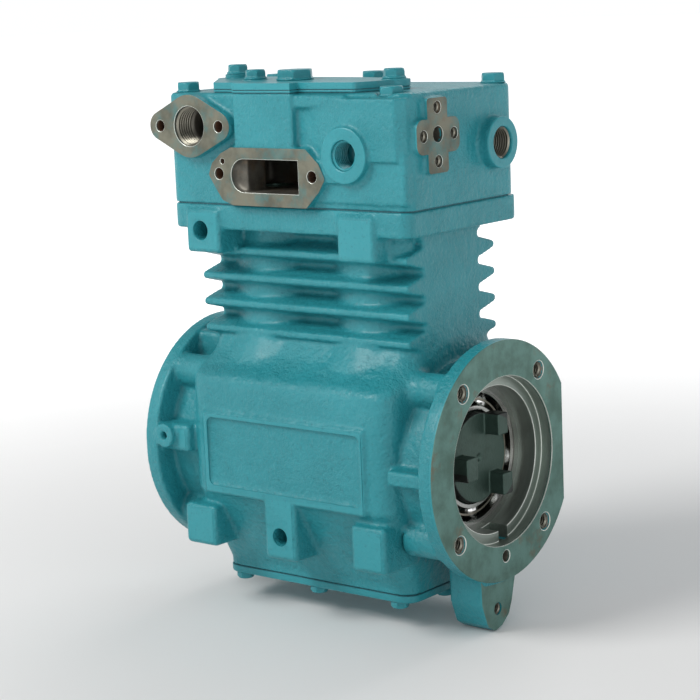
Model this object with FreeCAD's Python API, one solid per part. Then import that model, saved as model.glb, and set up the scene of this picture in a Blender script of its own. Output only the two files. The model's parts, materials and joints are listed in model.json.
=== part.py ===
import FreeCAD, Part
import math
import os
from FreeCAD import Vector

# Two-cylinder, flange-mounted reciprocating air compressor. Millimetres.
# X runs along the crankshaft and is 0 on the pump flange face, Y is across, Z is up.
# The crankshaft axis is y = 0, z = 0.

# Driving dimensions
PUMP_FLANGE_R = 80.0
PUMP_FLANGE_T = 11.0
PUMP_FLAT_Y = 69.3
PILOT_R = 56.1
PILOT_DEPTH = 8.7
BOLT_CIRCLE_R = 68.0
PUMP_BOLT_ANGLES = (129.6, 52.0, 311.6, 220.9)
PUMP_BOLT_R = 4.85
PUMP_BOLT_DEPTH = 26.0
BOLT_BOSS_R = 11.5

DRIVE_FACE_X = -245.75
DRIVE_FLANGE_R = 82.7
DRIVE_FLANGE_T = 11.0
DRIVE_BOLT_CIRCLE_R = 70.0
DRIVE_BOLT_R = 6.75
DRIVE_BOLT_ANGLES = (45.0, 135.0, 225.0, 315.0)
OIL_FEED_X = -228.0
OIL_FEED_Z = 9.0

CASE_X = (-212.0, -36.0)
CASE_Y = 75.0
CASE_Z = (-26.0, 50.0)
BASE_X = (-209.5, -46.0)
BASE_Y = 46.0
BASE_Z = -88.0
CORNER_R = 16.0

CYLINDER_X = (-169.5, -81.5)
BORE_R = 34.925
BARREL_R = 41.5
FIN_X = (-214.5, -37.3)
FIN_TIP_Y = 48.7
FIN_ROOT_Y = 30.0
FIN_TIP_T = 4.9
FIN_PITCH = 18.15
FIN_TOP_Z = 137.9
FIN_COUNT = 4
FIN_SIDE_DROP = 3.8
SHOULDER_TOP_Z = 80.0

PAD_PLACES = (
    ((-216.0, -187.5), (-66.0, -37.5)),
    ((-143.5, -115.5), (-67.0, -22.0)),
    ((-69.0, -41.0), (-65.0, -34.0)),
)

DECK_X = (-228.0, -25.5)
DECK_Y = 61.6
DECK_Z = (151.5, 168.0)
GASKET_T = 1.0

HEAD_X = (-229.0, -24.0)
HEAD_Y = (-61.0, 57.0)
HEAD_TOP = 242.8
PORT_FACE_Y = -68.0
DISCHARGE_AT = (-201.8, 221.0)
DISCHARGE_BOLT_REACH = 26.5
DISCHARGE_R = 13.5
INLET_BOLTS_AT = ((-176.5, 190.0), (-96.4, 189.7))
SMALL_BOLT_R = 3.9
COOLANT_FRONT_AT = (-69.0, 204.0)
COOLANT_FRONT_R = 9.8
COOLANT_END_AT = (30.0, 205.0)
COOLANT_END_R = 10.5
GOVERNOR_BOLTS_AT = ((-34.0, 232.4), (-34.0, 198.5), (-49.0, 215.0), (-17.0, 215.0))
GOVERNOR_BOLT_R = 3.6
COVER_FRONT_Y = -59.0
TAB_X = (-162.5, -112.5)
PLATE_T = (0.6, 1.2, 0.6, 4.3)

THROW = 24.0
ROD_LENGTH = 110.0
CRANKPIN_R = 15.0
WRIST_PIN_R = 9.5
WEB_R = 45.0
RUN_GAP = 0.3
COMPRESSION_HEIGHT = 33.0
SKIRT = 25.0

BEARING_X = (-43.0, -25.0)
RACE_R = (30.0, 34.0, 43.0, 47.5)
BALL_R = 6.3
BALL_PITCH_R = 38.5
BALL_COUNT = 10
BALL_GAP = 0.06
BALL_START_ANGLE = 25.0
CRANK_FACE_X = -20.5
LUG_TOP_X = -9.0
LUG_PLACES = (
    ((7.0, 18.0), (14.5, 29.0)),
    ((-29.0, -17.0), (-10.0, 5.5)),
    ((11.0, 22.0), (-26.5, -12.0)),
)

HEAD_BOLTS = (
    (-220.0, -47.0, 242.8),
    (-220.0, 45.0, 242.8),
    (-42.0, -51.5, 240.4),
    (-33.0, 46.0, 242.8),
    (-126.0, 37.0, 245.0),
)
COVER_BOLTS = ((-213.5, -3.5, 2.5), (-173.0, -31.0, 0.4), (-60.0, -25.0, 0.4))
CAP_PLACE = (-139.0, -30.0)
VALVE_POCKET_R = 13.0
INLET_VALVE_Y = -20.0
OUTLET_VALVE_Y = 19.0

WALL = 12.0
EDGE_R = 2.0


def box(x, y, z):
    return Part.makeBox(x[1] - x[0], y[1] - y[0], z[1] - z[0], Vector(x[0], y[0], z[0]))


def soft_box(x, y, z, r=EDGE_R):
    """A box whose every edge is rounded, as on a casting."""
    solid = box(x, y, z)
    return solid.makeFillet(r, solid.Edges)


def along_x(r, x, y=0.0, z=0.0):
    return Part.makeCylinder(r, x[1] - x[0], Vector(x[0], y, z), Vector(1, 0, 0))


def along_y(r, y, x, z):
    return Part.makeCylinder(r, y[1] - y[0], Vector(x, y[0], z), Vector(0, 1, 0))


def along_z(r, z, x, y):
    return Part.makeCylinder(r, z[1] - z[0], Vector(x, y, z[0]), Vector(0, 0, 1))


def ring_x(outer, inner, x):
    return along_x(outer, x).cut(along_x(inner, (x[0] - 1.0, x[1] + 1.0)))


def ring_z(outer, inner, z, x, y):
    return along_z(outer, z, x, y).cut(along_z(inner, (z[0] - 1.0, z[1] + 1.0), x, y))


def fuse(solids):
    return solids[0].multiFuse(solids[1:]).removeSplitter()


def cut(solid, tools):
    return solid.cut(tools)


def rounded_wire(x, y, z, r):
    """A closed rectangle with rounded corners, level at height z."""
    x0, x1 = x
    y0, y1 = y
    s = r * (1.0 - math.sqrt(0.5))
    edges = [
        Part.LineSegment(Vector(x0 + r, y0, z), Vector(x1 - r, y0, z)),
        Part.Arc(Vector(x1 - r, y0, z), Vector(x1 - s, y0 + s, z), Vector(x1, y0 + r, z)),
        Part.LineSegment(Vector(x1, y0 + r, z), Vector(x1, y1 - r, z)),
        Part.Arc(Vector(x1, y1 - r, z), Vector(x1 - s, y1 - s, z), Vector(x1 - r, y1, z)),
        Part.LineSegment(Vector(x1 - r, y1, z), Vector(x0 + r, y1, z)),
        Part.Arc(Vector(x0 + r, y1, z), Vector(x0 + s, y1 - s, z), Vector(x0, y1 - r, z)),
        Part.LineSegment(Vector(x0, y1 - r, z), Vector(x0, y0 + r, z)),
        Part.Arc(Vector(x0, y0 + r, z), Vector(x0 + s, y0 + s, z), Vector(x0 + r, y0, z)),
    ]
    return Part.Wire([edge.toShape() for edge in edges])


def slab(x, y, z, r):
    """A plate or block with upright rounded corners."""
    return Part.Face(rounded_wire(x, y, z[0], r)).extrude(Vector(0, 0, z[1] - z[0]))


def rounded_top(solid, z, r):
    """Rounds every edge that lies level at height z."""
    level = [e for e in solid.Edges if abs(e.BoundBox.ZMin - z) < 0.01 and abs(e.BoundBox.ZMax - z) < 0.01]
    return solid.makeFillet(r, level)


def prism_y(points, y):
    """A plate standing across Y, its outline given as (x, z) corners."""
    wire = Part.makePolygon([Vector(px, y[0], pz) for px, pz in points + points[:1]])
    return Part.Face(wire).extrude(Vector(0, y[1] - y[0], 0))


def prism_x(points, x):
    """A plate standing across X, its outline given as (y, z) corners."""
    wire = Part.makePolygon([Vector(x[0], py, pz) for py, pz in points + points[:1]])
    return Part.Face(wire).extrude(Vector(x[1] - x[0], 0, 0))


def soften(solid, axis, r):
    """Rounds the straight edges that run along one axis."""
    chosen = []
    for edge in solid.Edges:
        span = edge.BoundBox
        lengths = {"x": span.XLength, "y": span.YLength, "z": span.ZLength}
        others = [lengths[name] for name in lengths if name != axis]
        if lengths[axis] > 0.1 and max(others) < 0.01:
            chosen.append(edge)
    return solid.makeFillet(r, chosen)


def hexagon(across_flats, z, x, y, turn=0.0):
    """A hexagonal bolt head or cap standing on height z[0]."""
    corner = across_flats / math.sqrt(3.0)
    points = []
    for step in range(7):
        angle = math.radians(60.0 * step + turn)
        points.append(Vector(x + corner * math.cos(angle), y + corner * math.sin(angle), z[0]))
    head = Part.Face(Part.makePolygon(points)).extrude(Vector(0, 0, z[1] - z[0]))
    dome = Part.makeCone(corner + 2.0, corner - 1.2, z[1] - z[0], Vector(x, y, z[0]))
    return head.common(dome)


def polar(radius, degrees):
    """A point (y, z) on a circle round the crankshaft axis, measured from +Y."""
    angle = math.radians(degrees)
    return radius * math.cos(angle), radius * math.sin(angle)


# ---------------------------------------------------------------- block casting

def fin_comb(side):
    """One side's fins as a toothed plate: tapered fins with full-radius roots."""
    top = DECK_Z[0] + 1.0
    low = FIN_TOP_Z - (FIN_COUNT - 1) * FIN_PITCH - FIN_TIP_T
    inner = FIN_ROOT_Y + 3.5
    edges = []
    cursor = Vector(0, 0, top)

    def line_to(y, z):
        nonlocal cursor
        end = Vector(0, side * y, z)
        edges.append(Part.LineSegment(cursor, end).toShape())
        cursor = end

    def arc_to(mid, end_y, end_z):
        nonlocal cursor
        end = Vector(0, side * end_y, end_z)
        edges.append(Part.Arc(cursor, Vector(0, side * mid[0], mid[1]), end).toShape())
        cursor = end

    line_to(inner, top)
    mouth_top = DECK_Z[0]
    for number in range(FIN_COUNT):
        fin_top = FIN_TOP_Z - number * FIN_PITCH
        groove_mid = 0.5 * (mouth_top + fin_top)
        line_to(inner, mouth_top - FIN_SIDE_DROP)
        arc_to((FIN_ROOT_Y, groove_mid), inner, fin_top + FIN_SIDE_DROP)
        line_to(FIN_TIP_Y - 1.2, fin_top)
        line_to(FIN_TIP_Y, fin_top - 1.2)
        line_to(FIN_TIP_Y, fin_top - FIN_TIP_T + 1.2)
        line_to(FIN_TIP_Y - 1.2, fin_top - FIN_TIP_T)
        mouth_top = fin_top - FIN_TIP_T
    line_to(inner, low - FIN_SIDE_DROP)
    line_to(inner, 40.0)
    line_to(0.0, 40.0)
    edges.append(Part.LineSegment(cursor, Vector(0, 0, top)).toShape())
    plate = Part.Face(Part.Wire(edges)).extrude(Vector(FIN_X[1] - FIN_X[0], 0, 0))
    plate.translate(Vector(FIN_X[0], 0, 0))
    return plate


def case_body():
    """The crank chamber: straight middle, shoulders that draw in to the barrels, tapered sump."""
    middle = slab(CASE_X, (-CASE_Y, CASE_Y), CASE_Z, CORNER_R)
    foot_z = BASE_Z + 5.0
    foot = slab(BASE_X, (-BASE_Y, BASE_Y), (BASE_Z, foot_z), CORNER_R - 4.0)
    sump = Part.makeLoft([
        rounded_wire(BASE_X, (-BASE_Y, BASE_Y), foot_z, CORNER_R - 4.0),
        rounded_wire(CASE_X, (-CASE_Y, CASE_Y), CASE_Z[0], CORNER_R),
    ], True, True)
    shoulder = Part.makeLoft([
        rounded_wire(CASE_X, (-CASE_Y, CASE_Y), CASE_Z[1], CORNER_R),
        rounded_wire(CASE_X, (-72.0, 72.0), CASE_Z[1] + 4.0, CORNER_R),
        rounded_wire(CASE_X, (-62.0, 62.0), CASE_Z[1] + 9.0, CORNER_R),
        rounded_wire(CASE_X, (-52.0, 52.0), CASE_Z[1] + 16.0, CORNER_R),
        rounded_wire((FIN_X[0] + 2.0, FIN_X[1]), (-42.5, 42.5), SHOULDER_TOP_Z, CORNER_R),
    ], True, True)
    flares = [Part.makeCone(66.0, 47.5, 30.0, Vector(x, 0, SHOULDER_TOP_Z - 30.0)) for x in CYLINDER_X]
    trim = box(CASE_X, (-CASE_Y, CASE_Y), (CASE_Z[0], SHOULDER_TOP_Z))
    return [middle, foot, sump, shoulder] + [flare.common(trim) for flare in flares]


def panel_frame():
    """The raised frame on the front of the case, round a bare sunk panel."""
    plate = soft_box((-195.5, -55.5), (-78.0, -70.0), (-28.0, 29.5), 1.8)
    recess = box((-191.0, -58.5), (-80.0, -75.6), (-22.0, 25.5))
    return plate.cut(soften(recess, "y", 5.0))


def case_pads():
    """Three mounting pads low on each side."""
    pads = []
    for side in (-1, 1):
        span = (-78.0, -40.0) if side < 0 else (40.0, 78.0)
        for x, z in PAD_PLACES:
            pads.append(soft_box(x, span, z, 3.0))
    return pads


def deck():
    """The top flange that carries the head, with two pads hanging from its front."""
    plate = slab(DECK_X, (-DECK_Y, DECK_Y), DECK_Z, 8.0)
    plate = rounded_top(plate, DECK_Z[0], 1.5)
    pads = [
        soft_box((-213.0, -183.0), (-64.5, -38.0), (135.5, 165.0)),
        soft_box((-81.0, -51.0), (-64.5, -38.0), (135.0, 165.0)),
    ]
    lump = Part.makeSphere(11.0, Vector(-52.0, -38.0, 144.0))
    return [plate, lump] + pads


def pump_flange():
    """The near flange with its bearing tube, bolt bosses, side ribs and support lug."""
    disc = along_x(PUMP_FLANGE_R, (-PUMP_FLANGE_T, 0.0))
    disc = disc.cut(box((-20.0, 1.0), (PUMP_FLAT_Y, 100.0), (-100.0, 100.0)))
    solids = [disc, along_x(64.0, (CASE_X[1] - 2.0, -5.0))]
    for angle in PUMP_BOLT_ANGLES:
        y, z = polar(BOLT_CIRCLE_R, angle)
        solids.append(along_x(BOLT_BOSS_R, (CASE_X[1] - 2.0, -5.0), y, z))
    for y in ((-76.0, -58.0), (58.0, 68.0)):
        solids.append(soft_box((CASE_X[1] - 3.0, -8.0), y, (-5.0, 5.0)))
    outline = [(-28.0, -60.0), (-26.8, -92.0), (-21.0, -107.0), (-13.5, -112.1)]
    outline += [(-5.0, -110.0), (3.0, -104.0), (6.5, -96.0), (11.5, -78.0), (11.5, -60.0)]
    lug = prism_x(outline, (-28.0, -2.0))
    solids.append(soften(lug, "x", 4.0))
    return solids


def drive_flange():
    """The engine-end flange with its tube, webs, bolt bosses and rim boss."""
    face = DRIVE_FACE_X
    solids = [
        along_x(DRIVE_FLANGE_R, (face, face + DRIVE_FLANGE_T)),
        along_x(66.0, (face + 5.0, CASE_X[0] + 2.0)),
        along_y(8.4, (-83.0, -50.0), OIL_FEED_X, OIL_FEED_Z),
        soft_box((face + 6.0, CASE_X[0] + 3.0), (-78.0, -50.0), (-2.0, 17.0), 3.0),
        soft_box((face + 6.0, CASE_X[0] + 3.0), (60.0, 79.0), (-4.5, 14.0)),
        soft_box((face + 6.0, CASE_X[0] + 3.0), (-34.0, 34.0), (48.0, 74.0)),
    ]
    for angle in DRIVE_BOLT_ANGLES:
        y, z = polar(DRIVE_BOLT_CIRCLE_R, angle)
        solids.append(along_x(BOLT_BOSS_R, (face + 5.0, CASE_X[0] + 3.0), y, z))
    return solids


def block_openings():
    """Bores, crank chamber, pilots and every drilled hole of the block."""
    tools = []
    for x in CYLINDER_X:
        tools.append(along_z(BORE_R, (30.0, DECK_Z[1] + 1.0), x, 0.0))
    case_span = (CASE_X[0] + WALL, CASE_X[1] - WALL)
    base_span = (BASE_X[0] + WALL, BASE_X[1] - WALL)
    tools.append(slab(case_span, (-61.0, 61.0), (-22.0, 52.0), 8.0))
    sump_span = (case_span[0] + 0.6, case_span[1] - 0.6)
    tools.append(Part.makeLoft([
        rounded_wire(base_span, (-31.0, 31.0), BASE_Z - 1.0, 8.0),
        rounded_wire(sump_span, (-49.5, 49.5), -48.0, 8.0),
        rounded_wire(sump_span, (-60.4, 60.4), -20.0, 8.0),
    ], True, True))
    for x, y, _ in HEAD_BOLTS:
        tools.append(along_z(4.45, (DECK_Z[0] + 1.5, DECK_Z[1] + 1.0), x, y))
    for x, y in base_bolt_places():
        tools.append(along_z(3.25, (BASE_Z - 1.0, BASE_Z + 8.0), x, y))
    tools.append(along_x(PILOT_R, (-PILOT_DEPTH, 1.0)))
    tools.append(along_x(49.0, (BEARING_X[1], -PILOT_DEPTH + 1.0)))
    tools.append(along_x(RACE_R[3], (BEARING_X[0], BEARING_X[1] + 1.0)))
    tools.append(along_x(43.0, (BEARING_X[0] - 12.0, BEARING_X[0] + 1.0)))
    tools.append(along_x(31.0, (DRIVE_FACE_X - 1.0, CASE_X[0] + WALL + 1.0)))
    tools.append(along_x(50.0, (DRIVE_FACE_X - 1.0, DRIVE_FACE_X + 8.0)))
    for angle in PUMP_BOLT_ANGLES:
        y, z = polar(BOLT_CIRCLE_R, angle)
        tools.append(along_x(PUMP_BOLT_R, (-PUMP_BOLT_DEPTH, 1.0), y, z))
        tools.append(Part.makeCone(PUMP_BOLT_R, 6.1, 1.3, Vector(-1.25, y, z), Vector(1, 0, 0)))
    tools.append(along_x(4.0, (-PUMP_FLANGE_T - 2.0, 1.0), -1.0, -63.7))
    tools.append(along_x(4.2, (-22.0, 1.0), -9.6, -97.7))
    tools.append(box((BEARING_X[1] + 2.0, -8.0), (3.0, 13.0), (-56.5, -40.0)))
    for angle in DRIVE_BOLT_ANGLES:
        y, z = polar(DRIVE_BOLT_CIRCLE_R, angle)
        tools.append(along_x(DRIVE_BOLT_R, (DRIVE_FACE_X - 1.0, DRIVE_FACE_X + 25.0), y, z))
    tools.append(along_y(2.8, (-84.0, -45.0), OIL_FEED_X, OIL_FEED_Z))
    tools.append(along_y(6.5, (-66.0, -45.0), -200.0, 150.5))
    tools.append(along_y(6.2, (-79.0, -58.0), -129.5, -50.9))
    return tools


def crankcase_block():
    solids = case_body() + [fin_comb(1), fin_comb(-1), panel_frame()]
    for x in CYLINDER_X:
        solids.append(along_z(BARREL_R, (52.0, DECK_Z[0] + 1.0), x, 0.0))
    solids += case_pads() + deck() + pump_flange() + drive_flange()
    return cut(fuse(solids), block_openings())


def base_bolt_places():
    places = []
    for y in (-39.5, 39.5):
        for x in (-197.0, -129.5, -60.0):
            places.append((x, y))
    for x in (-203.5, -52.0):
        places.append((x, 0.0))
    return places


def base_cover():
    plate = slab((BASE_X[0], BASE_X[1]), (-BASE_Y, BASE_Y), (BASE_Z - 5.5, BASE_Z - 0.5), 11.0)
    plate = rounded_top(plate, BASE_Z - 5.5, 1.5)
    holes = [along_z(3.5, (BASE_Z - 7.0, BASE_Z), x, y) for x, y in base_bolt_places()]
    return cut(plate, holes)


def base_gasket():
    plate = slab((BASE_X[0] + 0.6, BASE_X[1] - 0.6), (-45.4, 45.4), (BASE_Z - 0.5, BASE_Z), 11.0)
    window = slab((BASE_X[0] + WALL, BASE_X[1] - WALL), (-32.0, 32.0), (BASE_Z - 1.0, BASE_Z + 1.0), 8.0)
    holes = [along_z(3.5, (BASE_Z - 1.0, BASE_Z + 1.0), x, y) for x, y in base_bolt_places()]
    return cut(plate, [window] + holes)


def base_bolts():
    top = BASE_Z - 5.5
    bolts = []
    for x, y in base_bolt_places():
        head = hexagon(11.0, (0.0, 4.5), x, y, 15.0)
        head.rotate(Vector(x, y, 0), Vector(1, 0, 0), 180.0)
        head.translate(Vector(0, 0, top))
        bolts.append(head.fuse(along_z(3.2, (top - 0.5, BASE_Z + 7.5), x, y)))
    return Part.makeCompound(bolts)


# ---------------------------------------------------------------- cylinder head

def port_flange_outline():
    """The two-bolt port flange: a round middle drawn out to a small end at each bolt."""
    x, z = DISCHARGE_AT
    y = (PORT_FACE_Y, -50.0)
    reach, end_r, mid_r = DISCHARGE_BOLT_REACH, 9.5, 21.0
    solids = [along_y(mid_r, y, x, z)]
    lean = math.acos((mid_r - end_r) / reach)
    for side in (-1, 1):
        solids.append(along_y(end_r, y, x + side * reach, z))
        points = []
        for radius, centre in ((mid_r, 0.0), (end_r, reach)):
            points.append((x + side * (centre + radius * math.cos(lean)), z + radius * math.sin(lean)))
        for radius, centre in ((end_r, reach), (mid_r, 0.0)):
            points.append((x + side * (centre + radius * math.cos(lean)), z - radius * math.sin(lean)))
        solids.append(prism_y(points, y))
    return solids


def inlet_flange():
    """The inlet flange with an ear at each bolt, and the web that joins it to the coolant boss."""
    outline = [(-186.0, 189.0), (-182.5, 197.0), (-174.5, 203.5), (-165.5, 207.5), (-101.0, 207.5)]
    outline += [(-90.5, 198.0), (-85.5, 188.5), (-91.0, 180.0), (-102.0, 169.2), (-165.5, 169.2)]
    outline += [(-174.5, 172.5), (-180.0, 180.0)]
    flange = soften(prism_y(outline, (PORT_FACE_Y, -50.0)), "y", 3.0)
    web = prism_y([(-96.0, 186.0), (-70.0, 186.0), (-70.0, 206.0), (-96.0, 200.0)], (-66.5, -50.0))
    return [flange, soften(web, "y", 1.5)]


def cross_pad():
    """The cross-shaped pad on the near end of the head."""
    arms = [
        soften(box((HEAD_X[1] - 6.0, -20.0), (-44.5, -23.5), (191.0, 238.5)), "x", 2.5),
        soften(box((HEAD_X[1] - 6.0, -20.0), (-56.0, -11.0), (203.5, 225.5)), "x", 6.0),
    ]
    return arms


def cylinder_head_body():
    low = slab(HEAD_X, HEAD_Y, (DECK_Z[1] + GASKET_T, HEAD_TOP), 9.0)
    low = rounded_top(low, HEAD_TOP, 3.0)
    tower = soften(box((-163.0, -112.0), (PORT_FACE_Y + 0.8, -45.0), (200.0, HEAD_TOP)), "z", 2.0)
    swell = [(-112.0, -58.0), (-112.0, -61.2), (-100.0, -62.0), (-88.0, -64.5), (-78.0, -66.0)]
    swell += [(-30.0, -66.0), (-24.5, -60.0), (-24.5, -40.0), (-112.0, -40.0)]
    bulge = Part.Face(Part.makePolygon([Vector(x, y, 200.0) for x, y in swell + swell[:1]]))
    bulge = soften(bulge.extrude(Vector(0, 0, 39.5)), "z", 3.0)
    middle_seat = along_z(10.0, (HEAD_TOP - 3.0, HEAD_BOLTS[4][2]), HEAD_BOLTS[4][0], HEAD_BOLTS[4][1])
    lintel = soft_box((-115.0, -70.0), (-65.0, -45.0), (233.0, 242.0), 2.5)
    sill = soft_box((-108.0, -24.5), (-63.5, -45.0), (172.0, 206.0), 3.0)
    side_boss = along_x(17.0, (HEAD_X[1] - 8.0, -15.0), *COOLANT_END_AT)
    front_boss = along_y(18.0, (-69.3, -45.0), *COOLANT_FRONT_AT)
    left_step = soft_box((-232.0, -200.0), (-52.0, 50.0), (200.0, 226.0), 4.0)
    solids = [low, tower, bulge, lintel, sill, side_boss, front_boss, left_step]
    return fuse(solids + inlet_flange() + port_flange_outline() + cross_pad() + [middle_seat])


def inlet_opening():
    """The inlet mouth: a shallow half-round end, then the deep air chamber with a web in it."""
    face = PORT_FACE_Y
    mouth = box((-155.0, -107.8), (face - 1.0, -44.0), (178.0, 200.0))
    round_end = along_y(11.0, (face - 1.0, face + 4.0), -154.8, 189.0)
    chamber = soften(box((-186.0, -64.0), (-45.0, -6.0), (178.0, 200.0)), "z", 4.0)
    web = box((-129.0, -125.0), (-36.0, -5.0), (177.0, 201.0))
    return fuse([mouth, round_end, chamber]).cut(web)


def head_openings():
    face = PORT_FACE_Y
    tools = [inlet_opening()]
    pillar = along_z(9.0, (189.0, 233.0), HEAD_BOLTS[4][0], HEAD_BOLTS[4][1])
    tools.append(box((-212.0, -64.0), (6.0, 44.0), (190.0, 232.0)).cut(pillar))
    tools.append(along_y(DISCHARGE_R, (face - 1.0, face + 16.0), *DISCHARGE_AT))
    tools.append(along_y(DISCHARGE_R - 3.0, (face + 15.0, 10.0), *DISCHARGE_AT))
    for x in CYLINDER_X:
        tools.append(along_z(VALVE_POCKET_R, (DECK_Z[1], 178.5), x, INLET_VALVE_Y))
        tools.append(along_z(VALVE_POCKET_R, (DECK_Z[1], 191.0), x, OUTLET_VALVE_Y))
    for side in (-1, 1):
        x = DISCHARGE_AT[0] + side * DISCHARGE_BOLT_REACH
        tools.append(along_y(SMALL_BOLT_R, (face - 1.0, face + 16.0), x, DISCHARGE_AT[1]))
    for x, z in INLET_BOLTS_AT:
        tools.append(along_y(SMALL_BOLT_R, (face - 1.0, face + 16.0), x, z))
    tools.append(along_y(1.9, (face - 1.0, face + 10.0), -173.1, 198.3))
    tools.append(along_y(COOLANT_FRONT_R, (-71.0, -48.0), *COOLANT_FRONT_AT))
    tools.append(along_x(COOLANT_END_R, (-42.0, -14.0), *COOLANT_END_AT))
    for y, z in GOVERNOR_BOLTS_AT:
        tools.append(along_x(GOVERNOR_BOLT_R, (-34.0, -19.0), y, z))
        tools.append(Part.makeCone(GOVERNOR_BOLT_R, 4.8, 1.2, Vector(-20.3, y, z), Vector(1, 0, 0)))
    tools.append(along_x(5.2, (-36.0, -19.0), -34.0, 215.45))
    for x, y, seat in HEAD_BOLTS:
        tools.append(along_z(4.6, (DECK_Z[1], seat + 1.0), x, y))
        tools.append(along_z(9.6, (seat, seat + 4.0), x, y))
    for x, y, _ in COVER_BOLTS:
        tools.append(along_z(3.85, (HEAD_TOP - 10.0, HEAD_TOP + 1.0), x, y))
    tools.append(along_z(10.05, (HEAD_TOP - 10.0, HEAD_TOP + 1.0), CAP_PLACE[0], CAP_PLACE[1]))
    return tools


def cylinder_head():
    return cut(cylinder_head_body(), head_openings())


def head_gasket():
    z = (DECK_Z[1], DECK_Z[1] + GASKET_T)
    plate = slab((HEAD_X[0] + 2.0, HEAD_X[1] - 2.5), (HEAD_Y[0] + 1.0, HEAD_Y[1] - 1.0), z, 8.0)
    holes = [along_z(36.5, (z[0] - 1.0, z[1] + 1.0), x, 0.0) for x in CYLINDER_X]
    holes += [along_z(5.0, (z[0] - 1.0, z[1] + 1.0), x, y) for x, y, _ in HEAD_BOLTS]
    return cut(plate, holes)


def head_bolts():
    bolts = []
    for x, y, seat in HEAD_BOLTS:
        shank = along_z(4.4, (DECK_Z[0] + 2.0, seat + 0.5), x, y)
        washer = along_z(8.6, (seat, seat + 0.7), x, y)
        bolts.append(fuse([shank, washer, hexagon(14.3, (seat + 0.7, seat + 6.4), x, y, 12.0)]))
    return Part.makeCompound(bolts)


def plate_levels(index):
    low = HEAD_TOP + sum(PLATE_T[:index])
    return low, low + PLATE_T[index]


def flat_outline(points, z):
    """A flat plate from its outline."""
    face = Part.Face(Part.makePolygon([Vector(x, y, z[0]) for x, y in points + points[:1]]))
    return face.extrude(Vector(0, 0, z[1] - z[0]))


def cover_plate(index, inset):
    """One layer of the stack on the head, from one end bolt to the other, with a tab over the tower."""
    z = plate_levels(index)
    left, right = COVER_BOLTS[0], COVER_BOLTS[2]
    front = COVER_FRONT_Y + inset
    points = [(-223.0, -13.0), (-186.0, front), (-66.0, front), (-51.5, -29.0)]
    points += [(-57.0, -15.5), (-105.0, -3.5), (-209.0, 9.5)]
    solids = [
        soften(flat_outline(points, z), "z", 3.0),
        along_z(14.0 - inset, z, left[0], left[1]),
        along_z(10.5 - inset, z, right[0], right[1]),
        box((TAB_X[0] + inset, TAB_X[1] - inset), (PORT_FACE_Y + 0.8 + inset, -40.0), z),
    ]
    holes = [along_z(4.0, (z[0] - 1.0, z[1] + 1.0), x, y) for x, y, _ in COVER_BOLTS]
    holes.append(along_z(10.2, (z[0] - 1.0, z[1] + 1.0), CAP_PLACE[0], CAP_PLACE[1]))
    return cut(fuse(solids), holes)


def head_cover():
    """The top plate of the stack, with a low pad round each bolt."""
    top = HEAD_TOP + sum(PLATE_T)
    plate = cover_plate(3, 0.0)
    pads = [ring_z(8.8, 4.0, (top - 0.5, top + rise), x, y) for x, y, rise in COVER_BOLTS]
    return fuse([plate] + pads)


def cover_bolts():
    top = HEAD_TOP + sum(PLATE_T)
    bolts = []
    for x, y, rise in COVER_BOLTS:
        seat = top + rise
        shank = along_z(3.8, (HEAD_TOP - 9.5, seat + 0.5), x, y)
        washer = along_z(7.7, (seat, seat + 1.4), x, y)
        bolts.append(fuse([shank, washer, hexagon(12.7, (seat + 1.4, seat + 6.6), x, y, 20.0)]))
    return Part.makeCompound(bolts)


def hex_cap():
    top = HEAD_TOP + sum(PLATE_T)
    x, y = CAP_PLACE
    flange = along_z(12.6, (top, top + 1.2), x, y)
    plug = along_z(10.0, (HEAD_TOP - 9.5, top + 0.5), x, y)
    return fuse([plug, flange, hexagon(22.2, (top + 1.2, top + 6.9), x, y, 5.0)])


# ---------------------------------------------------------------- valves

def inlet_valve_seat(x):
    return ring_z(VALVE_POCKET_R, 7.5, (173.6, 178.0), x, INLET_VALVE_Y)


def inlet_valve_stop(x):
    ring = ring_z(VALVE_POCKET_R, 10.5, (169.2, 170.4), x, INLET_VALVE_Y)
    bars = [
        box((x - 12.0, x + 12.0), (INLET_VALVE_Y - 1.5, INLET_VALVE_Y + 1.5), (169.2, 170.4)),
        box((x - 1.5, x + 1.5), (INLET_VALVE_Y - 12.0, INLET_VALVE_Y + 12.0), (169.2, 170.4)),
    ]
    return fuse([ring] + bars)


def outlet_valve_seat(x):
    return ring_z(VALVE_POCKET_R, 7.5, (169.2, 174.0), x, OUTLET_VALVE_Y)


def outlet_valve_stop(x):
    ring = ring_z(VALVE_POCKET_R, 10.5, (177.2, 179.7), x, OUTLET_VALVE_Y)
    bar = box((x - 12.0, x + 12.0), (OUTLET_VALVE_Y - 2.5, OUTLET_VALVE_Y + 2.5), (177.2, 179.7))
    return fuse([ring, bar])


def valve_disc(x, y, z):
    return along_z(11.2, z, x, y)


# ---------------------------------------------------------------- crankshaft

def three_lugs():
    lugs = []
    for y, z in LUG_PLACES:
        lug = box((CRANK_FACE_X - 1.0, LUG_TOP_X), y, z)
        lugs.append(soften(lug, "x", 1.2))
    return lugs


def crank_pump_end():
    journal = along_x(RACE_R[0], (-52.0, CRANK_FACE_X))
    web = along_x(WEB_R, (-69.0, -51.5))
    shoulder = along_x(33.0, (-52.0, BEARING_X[0]))
    centre = Part.makeCone(0.6, 3.0, 2.5, Vector(CRANK_FACE_X - 2.4, 0, 0), Vector(1, 0, 0))
    return fuse([journal, web, shoulder] + three_lugs()).cut(centre)


def crank_centre_web():
    web_a = along_x(WEB_R, (-157.0, -139.0))
    web_b = along_x(WEB_R, (-112.0, -94.0))
    neck = along_x(22.0, (-140.0, -111.0))
    return fuse([web_a, web_b, neck])


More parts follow.
